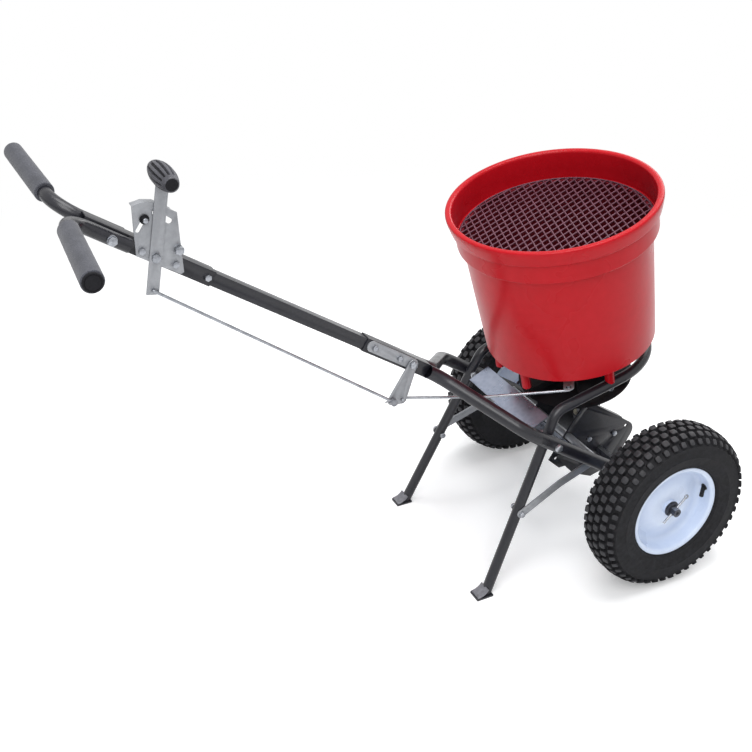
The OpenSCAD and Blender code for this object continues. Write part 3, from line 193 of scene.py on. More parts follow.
@dataclass(frozen=True)
class Finish:
    """A real material and how its surface was made.

    The grain is the size in millimetres of the pattern that shows in colour and relief, the skin
    that of the finer relief, and the cloud that of slow changes in colour and gloss over the
    whole piece.
    """

    name: str
    colour: str
    fleck: str
    metallic: float
    roughness: float
    gloss_swing: float
    grain_mm: float
    skin_mm: float
    relief_mm: float
    cloud_mm: float
    pattern: Pattern = Pattern.GRAIN
    ior: float = 1.5
    coat: float = 0.0
    sheen: float = 0.0
    specular: float = 0.5

    def make(self) -> bpy.types.Material:
        """Builds the node material.

        Returns:
            The material, ready for a slot.
        """
        material = bpy.data.materials.new(self.name)
        tree = cleared_tree(material)
        place = add_node(tree, "ShaderNodeTexCoord").outputs["Object"]
        layers = []
        for pattern, size_mm in (
            (Pattern.CLOUD, self.cloud_mm),
            (self.pattern, self.grain_mm),
            (Pattern.SKIN, self.skin_mm),
        ):
            kind, output, settings = pattern.value
            values = {"Scale": 1 / (size_mm * MM), **settings}
            layers.append(add_node(tree, kind, values, {"Vector": place}).outputs[output])
        cloud, grain, skin = layers
        both = add_node(
            tree, "ShaderNodeMath", links={0: cloud, 1: grain}, operation="MULTIPLY"
        ).outputs[0]
        share = add_node(
            tree,
            "ShaderNodeMapRange",
            {"From Min": FLECK_RANGE[0], "From Max": FLECK_RANGE[1]},
            {"Value": both},
        ).outputs["Result"]
        tint = add_node(
            tree,
            "ShaderNodeMix",
            {MIX_FIRST: linear(self.colour), MIX_SECOND: linear(self.fleck)},
            {0: share},
            data_type="RGBA",
        ).outputs[MIX_RESULT]
        gloss = add_node(
            tree,
            "ShaderNodeMapRange",
            {
                "From Min": GLOSS_RANGE[0],
                "From Max": GLOSS_RANGE[1],
                "To Min": max(LEAST_ROUGHNESS, self.roughness - self.gloss_swing),
                "To Max": min(1.0, self.roughness + self.gloss_swing),
            },
            {"Value": cloud},
        ).outputs["Result"]
        height = add_node(
            tree, "ShaderNodeMath", links={0: skin, 1: grain}, operation="ADD"
        ).outputs[0]
        relief = add_node(
            tree,
            "ShaderNodeBump",
            {"Strength": RELIEF_STRENGTH, "Distance": self.relief_mm * MM},
            {"Height": height},
        ).outputs["Normal"]
        shader = add_node(
            tree,
            "ShaderNodeBsdfPrincipled",
            {
                "Metallic": self.metallic,
                "IOR": self.ior,
                "Coat Weight": self.coat,
                "Coat Roughness": COAT_ROUGHNESS,
                "Sheen Weight": self.sheen,
                "Specular IOR Level": self.specular,
            },
            {"Base Color": tint, "Roughness": gloss, "Normal": relief},
        )
        add_node(tree, "ShaderNodeOutputMaterial", links={"Surface": shader.outputs["BSDF"]})
        return material


class Finishes(Enum):
    """Every finish on the machine, by what it covers.

    The numbers in a row are its metallic, roughness and gloss swing, and then its grain, skin,
    relief and cloud in millimetres.
    """

    # Injection-moulded polypropylene, dyed red: an even satin colour with a faint mould texture
    TUB = Finish(
        "red_moulded_polypropylene", "#B20F1A", "#BD1521", 0.0, 0.30, 0.06, 14.0, 1.6, 0.05, 160.0,
        specular=0.17,
    )
    # The tub's inside below its screen, painted a darker red as painted shade for the shadow inside
    # the tub
    TUB_INSIDE = Finish(
        "dusty_red_polypropylene", "#55101A", "#6A1820", 0.0, 0.6, 0.06, 9.0, 1.6, 0.05, 60.0,
        specular=0.12,
    )
    # Powder coat on steel tube: near black, satin, with the fine orange peel of baked powder
    POWDER = Finish(
        "black_powder_coat", "#14141A", "#222229", 0.0, 0.33, 0.08, 5.0, 1.1, 0.10, 70.0, coat=0.2,
        specular=0.4,
    )
    # Zinc-plated sheet, barrel plated and dull: a grey metal with faint clouds of passivation
    ZINC = Finish(
        "dull_zinc_plate", "#94969A", "#A9ABAF", 0.7, 0.5, 0.08, 9.0, 0.8, 0.03, 40.0
    )
    # Bright zinc on bolts: smoother and lighter than on the sheet
    BOLT = Finish(
        "bright_zinc_bolt", "#8B8E94", "#B4B7BD", 0.9, 0.28, 0.06, 4.0, 0.7, 0.02, 20.0
    )
    # Hot-dipped galvanised sheet: bright, slightly blue, with a broad spangle of crystals
    GALVANISED = Finish(
        "galvanised_sheet", "#98A0B2", "#A5ACBD", 0.85, 0.3, 0.08, 9.0, 1.0, 0.03, 50.0,
        Pattern.CELLS,
    )
    # Stove enamel on a pressed rim: cool white, glossy and very even
    ENAMEL = Finish(
        "white_stove_enamel", "#CBD8EE", "#D8E3F5", 0.0, 0.3, 0.05, 20.0, 2.0, 0.03, 110.0,
        coat=0.15, specular=0.35,
    )
    # Closed-cell nitrile foam: charcoal, matt, with cells under a millimetre drawn a little coarse
    FOAM = Finish(
        "charcoal_nitrile_foam", "#3E3F45", "#54555C", 0.0, 0.86, 0.05, 1.6, 0.9, 0.18, 30.0,
        Pattern.CELLS, sheen=0.2, specular=0.2,
    )
    # Vulcanised tyre rubber: black with a dry bloom that greys it unevenly
    TREAD = Finish(
        "tyre_rubber", "#161618", "#29292C", 0.0, 0.7, 0.10, 7.0, 1.0, 0.12, 35.0, specular=0.16
    )
    # The tops of the tread blocks, scuffed grey and a little polished
    WORN_TREAD = Finish(
        "scuffed_tyre_rubber", "#252528", "#3E3E41", 0.0, 0.58, 0.10, 6.0, 1.0, 0.12, 30.0,
        specular=0.3,
    )
    # Moulded nylon for the knob, the impeller and the caps: black, matt, faintly grained. In the
    # knob's grooves and dished ends it is painted shade
    BLACK_NYLON = Finish(
        "black_moulded_nylon", "#111114", "#1E1E22", 0.0, 0.6, 0.08, 3.0, 0.8, 0.08, 30.0,
        specular=0.18,
    )
    # The knob's ribs, of the same nylon in a lighter grey than the painted shade in its grooves
    WORN_NYLON = Finish(
        "hand_worn_nylon", "#38383D", "#54545A", 0.0, 0.45, 0.08, 4.0, 0.8, 0.08, 20.0,
        specular=0.35,
    )
    # Expanded steel under a purple-brown dip primer, thicker and duller in the corners
    MESH = Finish(
        "primed_expanded_steel", "#55343F", "#6F4956", 0.1, 0.5, 0.12, 6.0, 1.0, 0.08, 25.0,
        specular=0.2,
    )
    # Die-cast gear case: grey aluminium with the dull skin of the die
    CAST = Finish(
        "die_cast_aluminium", "#5B5C60", "#6E6F73", 0.85, 0.55, 0.10, 4.0, 1.0, 0.12, 30.0
    )
    # Plain turned steel for the axle, shaft and gears: grey metal with a little oil
    STEEL = Finish(
        "turned_steel", "#7B7D82", "#9A9CA1", 0.95, 0.36, 0.10, 3.0, 0.7, 0.04, 25.0
    )
    # Washers and flanged bushes that the hub grease has darkened
    GREASED_STEEL = Finish(
        "greased_steel", "#3A3C43", "#54565E", 0.8, 0.42, 0.10, 4.0, 0.7, 0.05, 12.0
    )
    # Sheet steel at the feet in a dull grey: painted light, standing for the light on the tabs'
    # tops
    WORN_STEEL = Finish(
        "worn_bare_steel", "#68686D", "#8C8C92", 0.4, 0.55, 0.10, 6.0, 0.9, 0.10, 14.0
    )
    # Natural nylon bushes: ivory, waxy and even
    IVORY_NYLON = Finish(
        "natural_nylon", "#D0C9B4", "#DDD7C6", 0.0, 0.45, 0.06, 5.0, 1.0, 0.04, 40.0, specular=0.3
    )
    # Black rubber of the valve stems: dense and smooth
    STEM = Finish(
        "valve_rubber", "#121213", "#202022", 0.0, 0.55, 0.08, 3.0, 0.8, 0.05, 20.0, specular=0.25
    )


class Palette:
    """Makes each finish's material once and hands it out."""

    def __init__(self) -> None:
        """Starts with no material made."""
        self.made: dict[Finishes, bpy.types.Material] = {}

    def dress(self, piece: bpy.types.Object, *finishes: Finishes) -> None:
        """Puts finishes on a piece, one for each of its material slots in turn.

        Args:
            piece: The object to dress.
            finishes: The finishes it gets.
        """
        piece.data.materials.clear()
        for finish in finishes:
            if finish not in self.made:
                self.made[finish] = finish.value.make()
            piece.data.materials.append(self.made[finish])


def clear_selection() -> None:
    """Deselects everything."""
    bpy.ops.object.select_all(action="DESELECT")


def work_on(piece: bpy.types.Object) -> None:
    """Makes one object the only one selected, and active.

    Args:
        piece: The object to work on.
    """
    clear_selection()
    piece.select_set(True)
    bpy.context.view_layer.objects.active = piece


def edit(piece: bpy.types.Object) -> None:
    """Opens one object alone in edit mode."""
    work_on(piece)
    bpy.ops.object.mode_set(mode="EDIT")


def leave_edit() -> None:
    """Goes back to object mode."""
    bpy.ops.object.mode_set(mode="OBJECT")


def settle(piece: bpy.types.Object, place: Optional[Matrix] = None) -> bpy.types.Object:
    """Moves a piece to its place and writes that place into its mesh.

    Args:
        piece: The object to settle.
        place: Where it goes, or nothing to keep where it is.

    Returns:
        The same object, at the origin.
    """
    work_on(piece)
    if place is not None:
        piece.matrix_world = place @ piece.matrix_world
    bpy.ops.object.transform_apply(location=True, rotation=True, scale=True)
    return piece


def apply_modifiers(piece: bpy.types.Object) -> None:
    """Applies each modifier of a piece in turn.

    Args:
        piece: The object that has them.
    """
    work_on(piece)
    for modifier in list(piece.modifiers):
        bpy.ops.object.modifier_apply(modifier=modifier.name)


def join(pieces: Sequence[bpy.types.Object], name: str) -> bpy.types.Object:
    """Joins objects into one.

    Args:
        pieces: The objects, of which the first keeps its origin.
        name: The name of the result.

    Returns:
        The joined object.
    """
    clear_selection()
    for piece in pieces:
        piece.select_set(True)
    bpy.context.view_layer.objects.active = pieces[0]
    bpy.ops.object.join()
    pieces[0].name = name
    return pieces[0]


def smooth(piece: bpy.types.Object, degrees: float = 32.0) -> None:
    """Shades a piece smooth up to an angle between faces."""
    work_on(piece)
    bpy.ops.object.shade_smooth_by_angle(angle=math.radians(degrees))


def select_faces(piece: bpy.types.Object, wanted: FaceTest) -> None:
    """Selects the faces that a test accepts, with the piece in edit mode.

    Args:
        piece: The object being edited.
        wanted: A function of a face's centre and normal that says yes or no.
    """
    bpy.ops.mesh.select_mode(type="FACE")
    bpy.ops.mesh.select_all(action="DESELECT")
    mesh = bmesh.from_edit_mesh(piece.data)
    for face in mesh.faces:
        if wanted(face.calc_center_median(), face.normal):
            face.select_set(True)
    mesh.select_flush(True)
    bmesh.update_edit_mesh(piece.data)


def soften(piece: bpy.types.Object, width_mm: float, degrees: float = 35.0) -> None:
    """Breaks a piece's sharp edges with a small bevel.

    Args:
        piece: The object to soften.
        width_mm: The bevel's width in millimetres.
        degrees: The least angle between faces at which an edge counts as sharp.
    """
    bevel = piece.modifiers.new("edge_break", "BEVEL")
    bevel.width = width_mm * MM
    bevel.segments = 2
    bevel.limit_method = "ANGLE"
    bevel.angle_limit = math.radians(degrees)
    apply_modifiers(piece)


def rounded(points: Sequence[Pair], radii: Mapping[int, float], steps: int = 4) -> list[Pair]:
    """Rounds some corners of an outline.

    Args:
        points: The outline's corners.
        radii: The radius at each corner that is rounded, by its place in the outline.
        steps: How many straight steps a rounded corner has.

    Returns:
        The outline with its arcs.
    """
    out: list[Pair] = []
    for i, point in enumerate(points):
        radius = radii.get(i, 0.0)
        if not radius:
            out.append(point)
            continue
        here = Vector(point)
        before = Vector(points[i - 1]) - here
        after = Vector(points[(i + 1) % len(points)]) - here
        run = min(radius, before.length * CORNER_SHARE, after.length * CORNER_SHARE)
        start, end = here + before.normalized() * run, here + after.normalized() * run
        for k in range(steps + 1):
            t = k / steps
            spot = start * (1 - t) ** 2 + here * (2 * t * (1 - t)) + end * t**2
            out.append((spot.x, spot.y))
    return out


def give_slot(piece: bpy.types.Object, index: int, wanted: FaceTest) -> None:
    """Gives the faces that a test accepts a material slot.

    Args:
        piece: The object, already dressed.
        index: The slot's number.
        wanted: A function of a face's centre and normal that says yes or no.
    """
    edit(piece)
    select_faces(piece, wanted)
    piece.active_material_index = index
    bpy.ops.object.material_slot_assign()
    leave_edit()


def turned(
    name: str, profile: Sequence[Pair], steps: int, closed: bool = True
) -> bpy.types.Object:
    """Turns a profile of radius and height round the Z axis.

    Args:
        name: The new object's name.
        profile: Radius and height pairs in millimetres.
        steps: How many steps a full turn has.
        closed: Whether the profile's end joins its start.

    Returns:
        The turned object, at the origin.
    """
    radius, height = profile[0]
    clear_selection()
    bpy.ops.mesh.primitive_plane_add(size=MM, location=(radius * MM, 0, height * MM))
    piece = settle(bpy.context.object)
    piece.name = name
    edit(piece)
    bpy.ops.mesh.select_mode(type="VERT")
    bpy.ops.mesh.select_all(action="SELECT")
    bpy.ops.mesh.merge(type="CENTER")
    for (r0, h0), (r1, h1) in zip(profile, profile[1:]):
        bpy.ops.mesh.extrude_region_move(
            TRANSFORM_OT_translate={"value": ((r1 - r0) * MM, 0, (h1 - h0) * MM)}
        )
    bpy.ops.mesh.select_all(action="SELECT")
    if closed:
        mesh = bmesh.from_edit_mesh(piece.data)
        ends = [v for v in mesh.verts if len(v.link_edges) == 1]
        bpy.ops.mesh.select_all(action="DESELECT")
        for end in ends:
            end.select_set(True)
        bpy.ops.mesh.edge_face_add()
        bpy.ops.mesh.select_all(action="SELECT")
    bpy.ops.mesh.spin(steps=steps, angle=math.tau, center=(0, 0, 0), axis=(0, 0, 1))
    bpy.ops.mesh.select_all(action="SELECT")
    bpy.ops.mesh.remove_doubles(threshold=TURNED_WELD)
    bpy.ops.mesh.normals_make_consistent(inside=False)
    leave_edit()
    return piece


def rod(
    radius_mm: float, low_mm: float, high_mm: float, at: Pair, sides: int = 48
) -> bpy.types.Object:
    """Adds a round bar along Z between two heights.

    Args:
        radius_mm: Its radius in millimetres.
        low_mm: Its lower end.
        high_mm: Its upper end.
        at: Its place in X and Y, in millimetres.
        sides: How many sides it has.

    Returns:
        The new object.
    """
    clear_selection()
    bpy.ops.mesh.primitive_cylinder_add(
        vertices=sides,
        radius=radius_mm * MM,
        depth=(high_mm - low_mm) * MM,
        location=(at[0] * MM, at[1] * MM, (low_mm + high_mm) / 2 * MM),
    )
    return bpy.context.object


def refined(node: str, name: str, break_mm: float = 0.0) -> bpy.types.Object:
    """Copies a CAD node, merges its loose triangles, breaks its edges and smooths it.

    Args:
        node: The CAD node to copy.
        name: The new piece's name.
        break_mm: The width of the edge break in millimetres, or nothing for none.

    Returns:
        The new piece.
    """
    work_on(frame["nodes"][node])
    bpy.ops.object.duplicate()
    piece = bpy.context.object
    bpy.ops.object.parent_clear(type="CLEAR_KEEP_TRANSFORM")
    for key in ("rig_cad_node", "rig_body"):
        if key in piece:
            del piece[key]
    piece.name = name
    edit(piece)
    bpy.ops.mesh.select_all(action="SELECT")
    bpy.ops.mesh.remove_doubles(threshold=SOLID_WELD)
    bpy.ops.mesh.dissolve_limited(angle_limit=FLAT_ANGLE)
    leave_edit()
    if piece.data.has_custom_normals:
        bpy.ops.mesh.customdata_custom_splitnormals_clear()
    if break_mm:
        soften(piece, break_mm)
    smooth(piece)
    return piece


@dataclass
class Assembly:
    """What the sub-assemblies share: fitting a piece to a body, a node and a finish."""

    palette: Palette

    def build(self) -> None:
        """Makes and dresses the sub-assembly's pieces."""
        raise NotImplementedError

    def fit(
        self,
        piece: bpy.types.Object,
        body: str,
        slot: str,
        finish: Optional[Finishes] = None,
        nodes: Sequence[str] = (),
    ) -> bpy.types.Object:
        """Dresses a piece and ties it to the frame.

        Args:
            piece: The piece, in place.
            body: The CAD body that it rides on.
            slot: The record's material slot, which is not used.
            finish: The finish it gets, or nothing where it is dressed already.
            nodes: The CAD nodes that it stands for.

        Returns:
            The same piece.
        """
        if finish is not None:
            self.palette.dress(piece, finish)
        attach(piece, body)
        if nodes:
            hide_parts(*nodes)
        log.info("piece %s on %s, %d faces", piece.name, body, len(piece.data.polygons))
        return piece

    def refine(
        self, node: str, body: str, slot: str, finish: Finishes, break_mm: float = 0.0
    ) -> bpy.types.Object:
        """Replaces a CAD node with a refined copy, its edges broken to a width in millimetres."""
        return self.fit(refined(node, node + "_finished", break_mm), body, slot, finish, [node])


@dataclass(frozen=True)
class BlockRow:
    """A row of tread blocks on the outer half of a tyre, which the inner half has mirrored.

    It lies across millimetres from the middle plane and starts round the tyre at a share of the
    spacing. Its blocks rise from the base radius to a drop below the tyre's own, lean outwards by
    a tilt in degrees, and are as wide and long as two shares of the usual size.
    """

    across: float
    phase: float
    base: float
    drop: float
    tilt: float
    width: float
    length: float


@dataclass
class Wheel(Assembly):
    """One wheel: a knobbly tyre on a pressed rim, with its hub, bushes and valve.

    Heights are measured outwards from the wheel's middle plane. A block's taper, corner and
    shoulder are shares of its width, and the stagger is a share of the spacing.
    """

    side: Side
    body: str
    track: float = 473.0
    tyre_radius: float = 162.6
    carcass_radius: float = 155.0
    half_width: float = 41.0
    rim_radius: float = 91.4
    seat_radius: float = 83.7
    half_rim: float = 32.0
    blocks: int = 50
    stagger: float = 0.5
    block_size: float = 12.5
    block_taper: float = 0.86
    block_corner: float = 0.2
    block_shoulder: float = 0.1
    block_crown: float = 0.7
    block_foot: float = 0.5
    tread: Sequence[BlockRow] = (
        BlockRow(7.6, 0.0, 153.0, 0.8, 2.0, 1.06, 1.14),
        BlockRow(21.5, 0.5, 149.5, 3.8, 17.0, 1.06, 1.1),
        BlockRow(32.6, 0.0, 142.5, 10.8, 44.0, 0.95, 0.86),
    )

    @property
    def place(self) -> Matrix:
        """Where the wheel's own frame lies, with Z outwards."""
        centre = AXLE + Vector((0, self.side.value * self.track / 2 * MM, 0))
        turn = math.radians(-90 * self.side.value)
        return Matrix.Translation(centre) @ Matrix.Rotation(turn, 4, "X")

    def carcass(self) -> bpy.types.Object:
        """Turns the tyre's casing, with the thin ribs of its side walls.

        Returns:
            The casing, in the wheel's frame.
        """
        half = self.half_width
        bead = self.half_rim - 2.2
        # Radius and height of each corner, from the bead over the side wall's ribs to the crown
        outer = [
            (self.seat_radius + 0.4, bead), (self.rim_radius + 0.5, bead + 0.3), (94.5, 35.2),
            (97.0, 36.4), (98.5, 36.0), (104.0, 38.2), (116.0, half - 1.0), (118.0, half - 0.2),
            (120.0, half - 0.9), (132.0, half - 1.0), (139.0, half - 2.2), (140.5, half - 1.4),
            (142.0, half - 3.4), (146.0, half - 9.0), (150.5, half - 15.5), (153.5, half - 24.0),
            (self.carcass_radius, half - 35.0),
        ]
        loop = outer + [(r, -h) for r, h in reversed(outer)]
        loop += [(self.seat_radius + 0.4, -bead + 7.0), (self.seat_radius + 0.4, bead - 7.0)]
        piece = turned("tyre_casing_" + self.side.tag, loop, steps=150)
        self.palette.dress(piece, Finishes.TREAD)
        smooth(piece, degrees=40)
        return piece

    def block_row(self, row: BlockRow, half: int) -> bpy.types.Object:
        """Models one tread block and copies it round the tyre.

        Args:
            row: The row's place and its blocks' sizes.
            half: One for the tyre's outer half, minus one for the inner.

        Returns:
            The whole row as one object.
        """
        clear_selection()
        rise = self.tyre_radius - row.drop - row.base
        width, length = self.block_size * row.width, self.block_size * row.length
        bpy.ops.mesh.primitive_cube_add(size=1, location=(0, 0, 0))
        block = bpy.context.object
        block.scale = (rise * MM, length * MM, width * MM)
        settle(block)
        edit(block)
        select_faces(block, lambda centre, normal: normal.x > SQUARELY)
        bpy.ops.transform.resize(value=(1, self.block_taper, self.block_taper))
        select_faces(block, lambda centre, normal: normal.x < -SQUARELY)
        bpy.ops.mesh.delete(type="FACE")
        bpy.ops.mesh.select_mode(type="EDGE")
        bpy.ops.mesh.select_all(action="DESELECT")
        mesh = bmesh.from_edit_mesh(block.data)
        for edge in mesh.edges:
            edge.select_set(abs((edge.verts[0].co - edge.verts[1].co).x) > rise / 2 * MM)
        bmesh.update_edit_mesh(block.data)
        bpy.ops.mesh.bevel(offset=width * self.block_corner * MM, segments=2, affect="EDGES")
        select_faces(block, lambda centre, normal: normal.x > SQUARELY)
        bpy.ops.mesh.inset(thickness=width * self.block_shoulder * MM)
        bpy.ops.transform.translate(value=(self.block_crown * MM, 0, 0))
        leave_edit()
        self.palette.dress(block, Finishes.TREAD, Finishes.WORN_TREAD)
        give_slot(block, 1, lambda centre, normal: normal.x > ROUGHLY)
        lean = Matrix.Rotation(math.radians(-half * row.tilt), 4, "Y")
        out = row.base + rise / 2 - self.block_foot
        middle = Matrix.Translation((out * MM, 0, half * row.across * MM))
        phase = row.phase if half > 0 else self.stagger - row.phase
        turn = Matrix.Rotation(math.tau * phase / self.blocks, 4, "Z")
        settle(block, turn @ middle @ lean)
        clear_selection()
        bpy.ops.object.empty_add(location=(0, 0, 0), rotation=(0, 0, math.tau / self.blocks))
        step = bpy.context.object
        copies = block.modifiers.new("round_the_tyre", "ARRAY")
        copies.count = self.blocks
        copies.use_relative_offset = False
        copies.use_object_offset = True
        copies.offset_object = step
        apply_modifiers(block)
        bpy.data.objects.remove(step)
        smooth(block, degrees=35)
        return block

    def tyre(self) -> bpy.types.Object:
        """Builds the casing with its staggered rows of blocks.

        Returns:
            The finished tyre.
        """
        rows = [self.block_row(row, half) for row in self.tread for half in (1, -1)]
        return settle(join([self.carcass()] + rows, "tyre_tread_" + self.side.tag), self.place)

    def rim(self) -> bpy.types.Object:
        """Turns the pressed rim with its rolled flanges and dished disc.

        Returns:
            The finished rim.
        """
        half, seat, edge = self.half_rim, self.seat_radius, self.rim_radius
        # Radius and height of each corner, from the flange over the seat to the hub's hole
        face = [
            (edge, half - 1.9), (edge, half - 0.1), (edge - 2.6, half), (seat + 1.6, half - 0.4),
            (seat - 1.4, half - 2.6), (seat - 2.0, half - 6.0), (seat - 2.2, 12.0),
            (seat - 4.2, 6.0), (seat - 10.0, 2.8), (64.0, 4.2), (54.0, 8.4), (46.0, 12.4),
            (38.0, 14.4), (25.0, 15.0), (15.2, 15.0),
        ]
        back = [(15.2, 13.0), (25.0, 13.0), (45.5, 11.0), (seat - 10.0, 0.4), (seat, 0.4)]
        back += [(seat, half - 2.8), (seat + 0.8, half - 1.9)]
        radii = {1: 1.2, 2: 1.2, 3: 1.6, 4: 2.0, 7: 3.0, 8: 3.0, 12: 3.0}
        loop = rounded(face + back, radii, steps=3)
        mirrored = [(r, -h) for r, h in reversed(loop)]
        outer = turned("rim_face_" + self.side.tag, loop, steps=128)
        inner = turned("rim_back_" + self.side.tag, mirrored, steps=128)
        piece = join([outer, inner], "rim_pressing_" + self.side.tag)
        smooth(piece, degrees=38)
        return settle(piece, self.place)

    def build(self) -> None:
        """Makes and dresses the wheel's pieces."""
        tag = self.side.tag
        self.fit(self.tyre(), self.body, "tyre_rubber", nodes=["tyre_" + tag])
        self.fit(self.rim(), self.body, "white_paint", Finishes.ENAMEL, ["rim_" + tag])
        self.refine("hub_" + tag, self.body, "white_paint", Finishes.ENAMEL, 0.4)
        self.refine("hub_bushes_" + tag, self.body, "steel", Finishes.GREASED_STEEL, 0.5)
        self.refine("valve_" + tag, self.body, "black_rubber", Finishes.STEM, 0.5)


@dataclass
class Tub(Assembly):
    """The moulded tub with its feet and the expanded-metal screen, in the hopper frame."""

    lip_height: float = 557.3
    screen_height: float = 500.5
    screen_radius: float = 174.0
    strand_spacing: float = 13.6
    strand_width: float = 2.4
    strand_depth: float = 2.9
    strand_break: float = 0.3
    strand_tilt: float = 14.0
    strand_inset: float = 3.0
    strand_ways: Pair = (10.5, 70.5)
    strand_lifts: Pair = (1.6, 1.9)
    wire_radius: float = 1.5
    wire_inset: float = 1.6
    # The inside below the screen, within these heights and this radius, gets painted shade
    painted_shade_heights: Pair = (246.0, 501.5)
    painted_shade_radius: float = 176.0
    ports: int = 5
    port_step: float = 24.0
    port_ring: float = 60.0
    port_radius: float = 6.0
    port_heights: Pair = (240.0, 256.0)
    feet: Sequence[Triple] = (
        (143.0, 0.0, 216.5), (-7.0, 123.0, 216.5), (-7.0, -123.0, 216.5),
        (-133.15, 43.26, 224.0), (-133.15, -43.26, 224.0),
    )
    foot_radius: float = 9.0
    foot_top: float = 297.0
    foot_break: float = 1.2

    def shell(self) -> bpy.types.Object:
        """Turns the tub's wall, bands, rolled lip, skirt and funnel as one shell.

        Returns:
            The shell, in the hopper frame.
        """
        top = self.lip_height
        # Radius and height of each corner: the funnel from below, the skirt, the wall, the bands
        # and the lip, and back down the inside by the screen's ledge
        corners = [
            (6.0, 244.0), (20.0, 244.0), (20.0, 247.0), (84.0, 247.0), (156.0, 293.6),
            (154.6, 264.8), (157.5, 264.8), (169.3, 486.6), (179.8, 488.8), (181.0, 526.0),
            (186.6, 527.6), (191.9, 550.0), (191.9, top - 0.1), (180.2, top - 0.1),
            (178.0, 532.0), (178.0, 500.3), (167.0, 500.3), (167.0, 496.0), (156.2, 296.7),
            (84.0, 250.0), (6.0, 250.0),
        ]
        radii = {
            4: 3.0, 6: 0.9, 7: 1.6, 8: 3.0, 9: 1.2, 10: 2.2, 11: 8.0, 12: 4.6, 13: 5.2, 14: 12.0,
            15: 1.5, 16: 1.5, 18: 8.0, 19: 10.0,
        }
        return turned("tub_shell", rounded(corners, radii, steps=5), steps=168)

    def moulding(self) -> bpy.types.Object:
        """Adds the feet to the shell and cuts the ports through its floor.

        Returns:
            The finished tub.
        """
        shell = self.shell()
        cutters = []
        for i in range(self.ports):
            angle = math.radians((i - self.ports // 2) * self.port_step)
            spot = (self.port_ring * math.cos(angle), self.port_ring * math.sin(angle))
            cutters.append(rod(self.port_radius, *self.port_heights, spot))
        cutter = join(cutters, "port_cutter")
        cut = shell.modifiers.new("ports", "BOOLEAN")
        cut.operation = "DIFFERENCE"
        cut.object = cutter
        cut.solver = "EXACT"
        apply_modifiers(shell)
        bpy.data.objects.remove(cutter)
        feet = []
        for x, y, low in self.feet:
            foot = rod(self.foot_radius, low, self.foot_top, (x, y), sides=40)
            edit(foot)
            select_faces(foot, lambda centre, normal: normal.z < -SQUARELY)
            bpy.ops.mesh.bevel(offset=self.foot_break * MM, segments=3, affect="EDGES")
            leave_edit()
            feet.append(settle(foot))
        piece = join([shell] + feet, "tub_moulding")
        self.palette.dress(piece, Finishes.TUB, Finishes.TUB_INSIDE)

        def in_painted_shade(centre: Vector, normal: Vector) -> bool:
            """Says whether a face is on the inside below the screen, where shade is painted."""
            low, high = self.painted_shade_heights
            inwards = normal.x * centre.x + normal.y * centre.y < 0 or normal.z > ROUGHLY
            within = centre.xy.length < self.painted_shade_radius * MM
            return low * MM < centre.z < high * MM and inwards and within

        # The second slot paints shade, a darker red, on the inside below the screen
        give_slot(piece, 1, in_painted_shade)
        smooth(piece, degrees=34)
        return settle(piece, HOPPER_FRAME)

    def strand(self) -> bpy.types.Object:
        """Models one slit strand of the screen, slightly turned on edge.

        Returns:
            The strand, a metre long, to be shrunk to each place's length.
        """
        clear_selection()
        bpy.ops.mesh.primitive_cube_add(size=1)
        strand = bpy.context.object
        strand.scale = (1, self.strand_width * MM, self.strand_depth * MM)
        settle(strand)
        edit(strand)
        bpy.ops.mesh.select_all(action="SELECT")
        bpy.ops.mesh.bevel(offset=self.strand_break * MM, segments=1, affect="EDGES")
        leave_edit()
        return settle(strand, Matrix.Rotation(math.radians(self.strand_tilt), 4, "X"))

    def screen(self) -> bpy.types.Object:
        """Lays two crossing sets of strands inside a round wire.

        Returns:
            The finished screen.
        """
        first = self.strand()
        parts = []
        reach = self.screen_radius - self.strand_inset
        count = int(reach // self.strand_spacing)
        for way, lift in zip(self.strand_ways, self.strand_lifts):
            turn = Matrix.Rotation(math.radians(way), 4, "Z")
            for i in range(-count, count + 1):
                across = i * self.strand_spacing
                length = 2 * math.sqrt(reach**2 - across**2)
                work_on(first)
                bpy.ops.object.duplicate()
                shrink = Matrix.Diagonal((length * MM, 1, 1, 1))
                shift = Matrix.Translation((0, across * MM, lift * MM))
                parts.append(settle(bpy.context.object, turn @ shift @ shrink))
        bpy.data.objects.remove(first)
        clear_selection()
        bpy.ops.mesh.primitive_torus_add(
            major_radius=(self.screen_radius - self.wire_inset) * MM,
            minor_radius=self.wire_radius * MM,
            major_segments=128,
            minor_segments=12,
            location=(0, 0, self.wire_radius * MM),
        )
        wire = settle(bpy.context.object)
        piece = join([wire] + parts, "screen_mesh")
        smooth(piece, degrees=40)
        return settle(piece, HOPPER_FRAME @ Matrix.Translation((0, 0, self.screen_height * MM)))

    def build(self) -> None:
        """Makes and dresses the tub and its screen."""
        self.fit(self.moulding(), "frame", "red_plastic", nodes=["hopper"])
        self.fit(self.screen(), "frame", "mesh_black", Finishes.MESH, ["screen"])


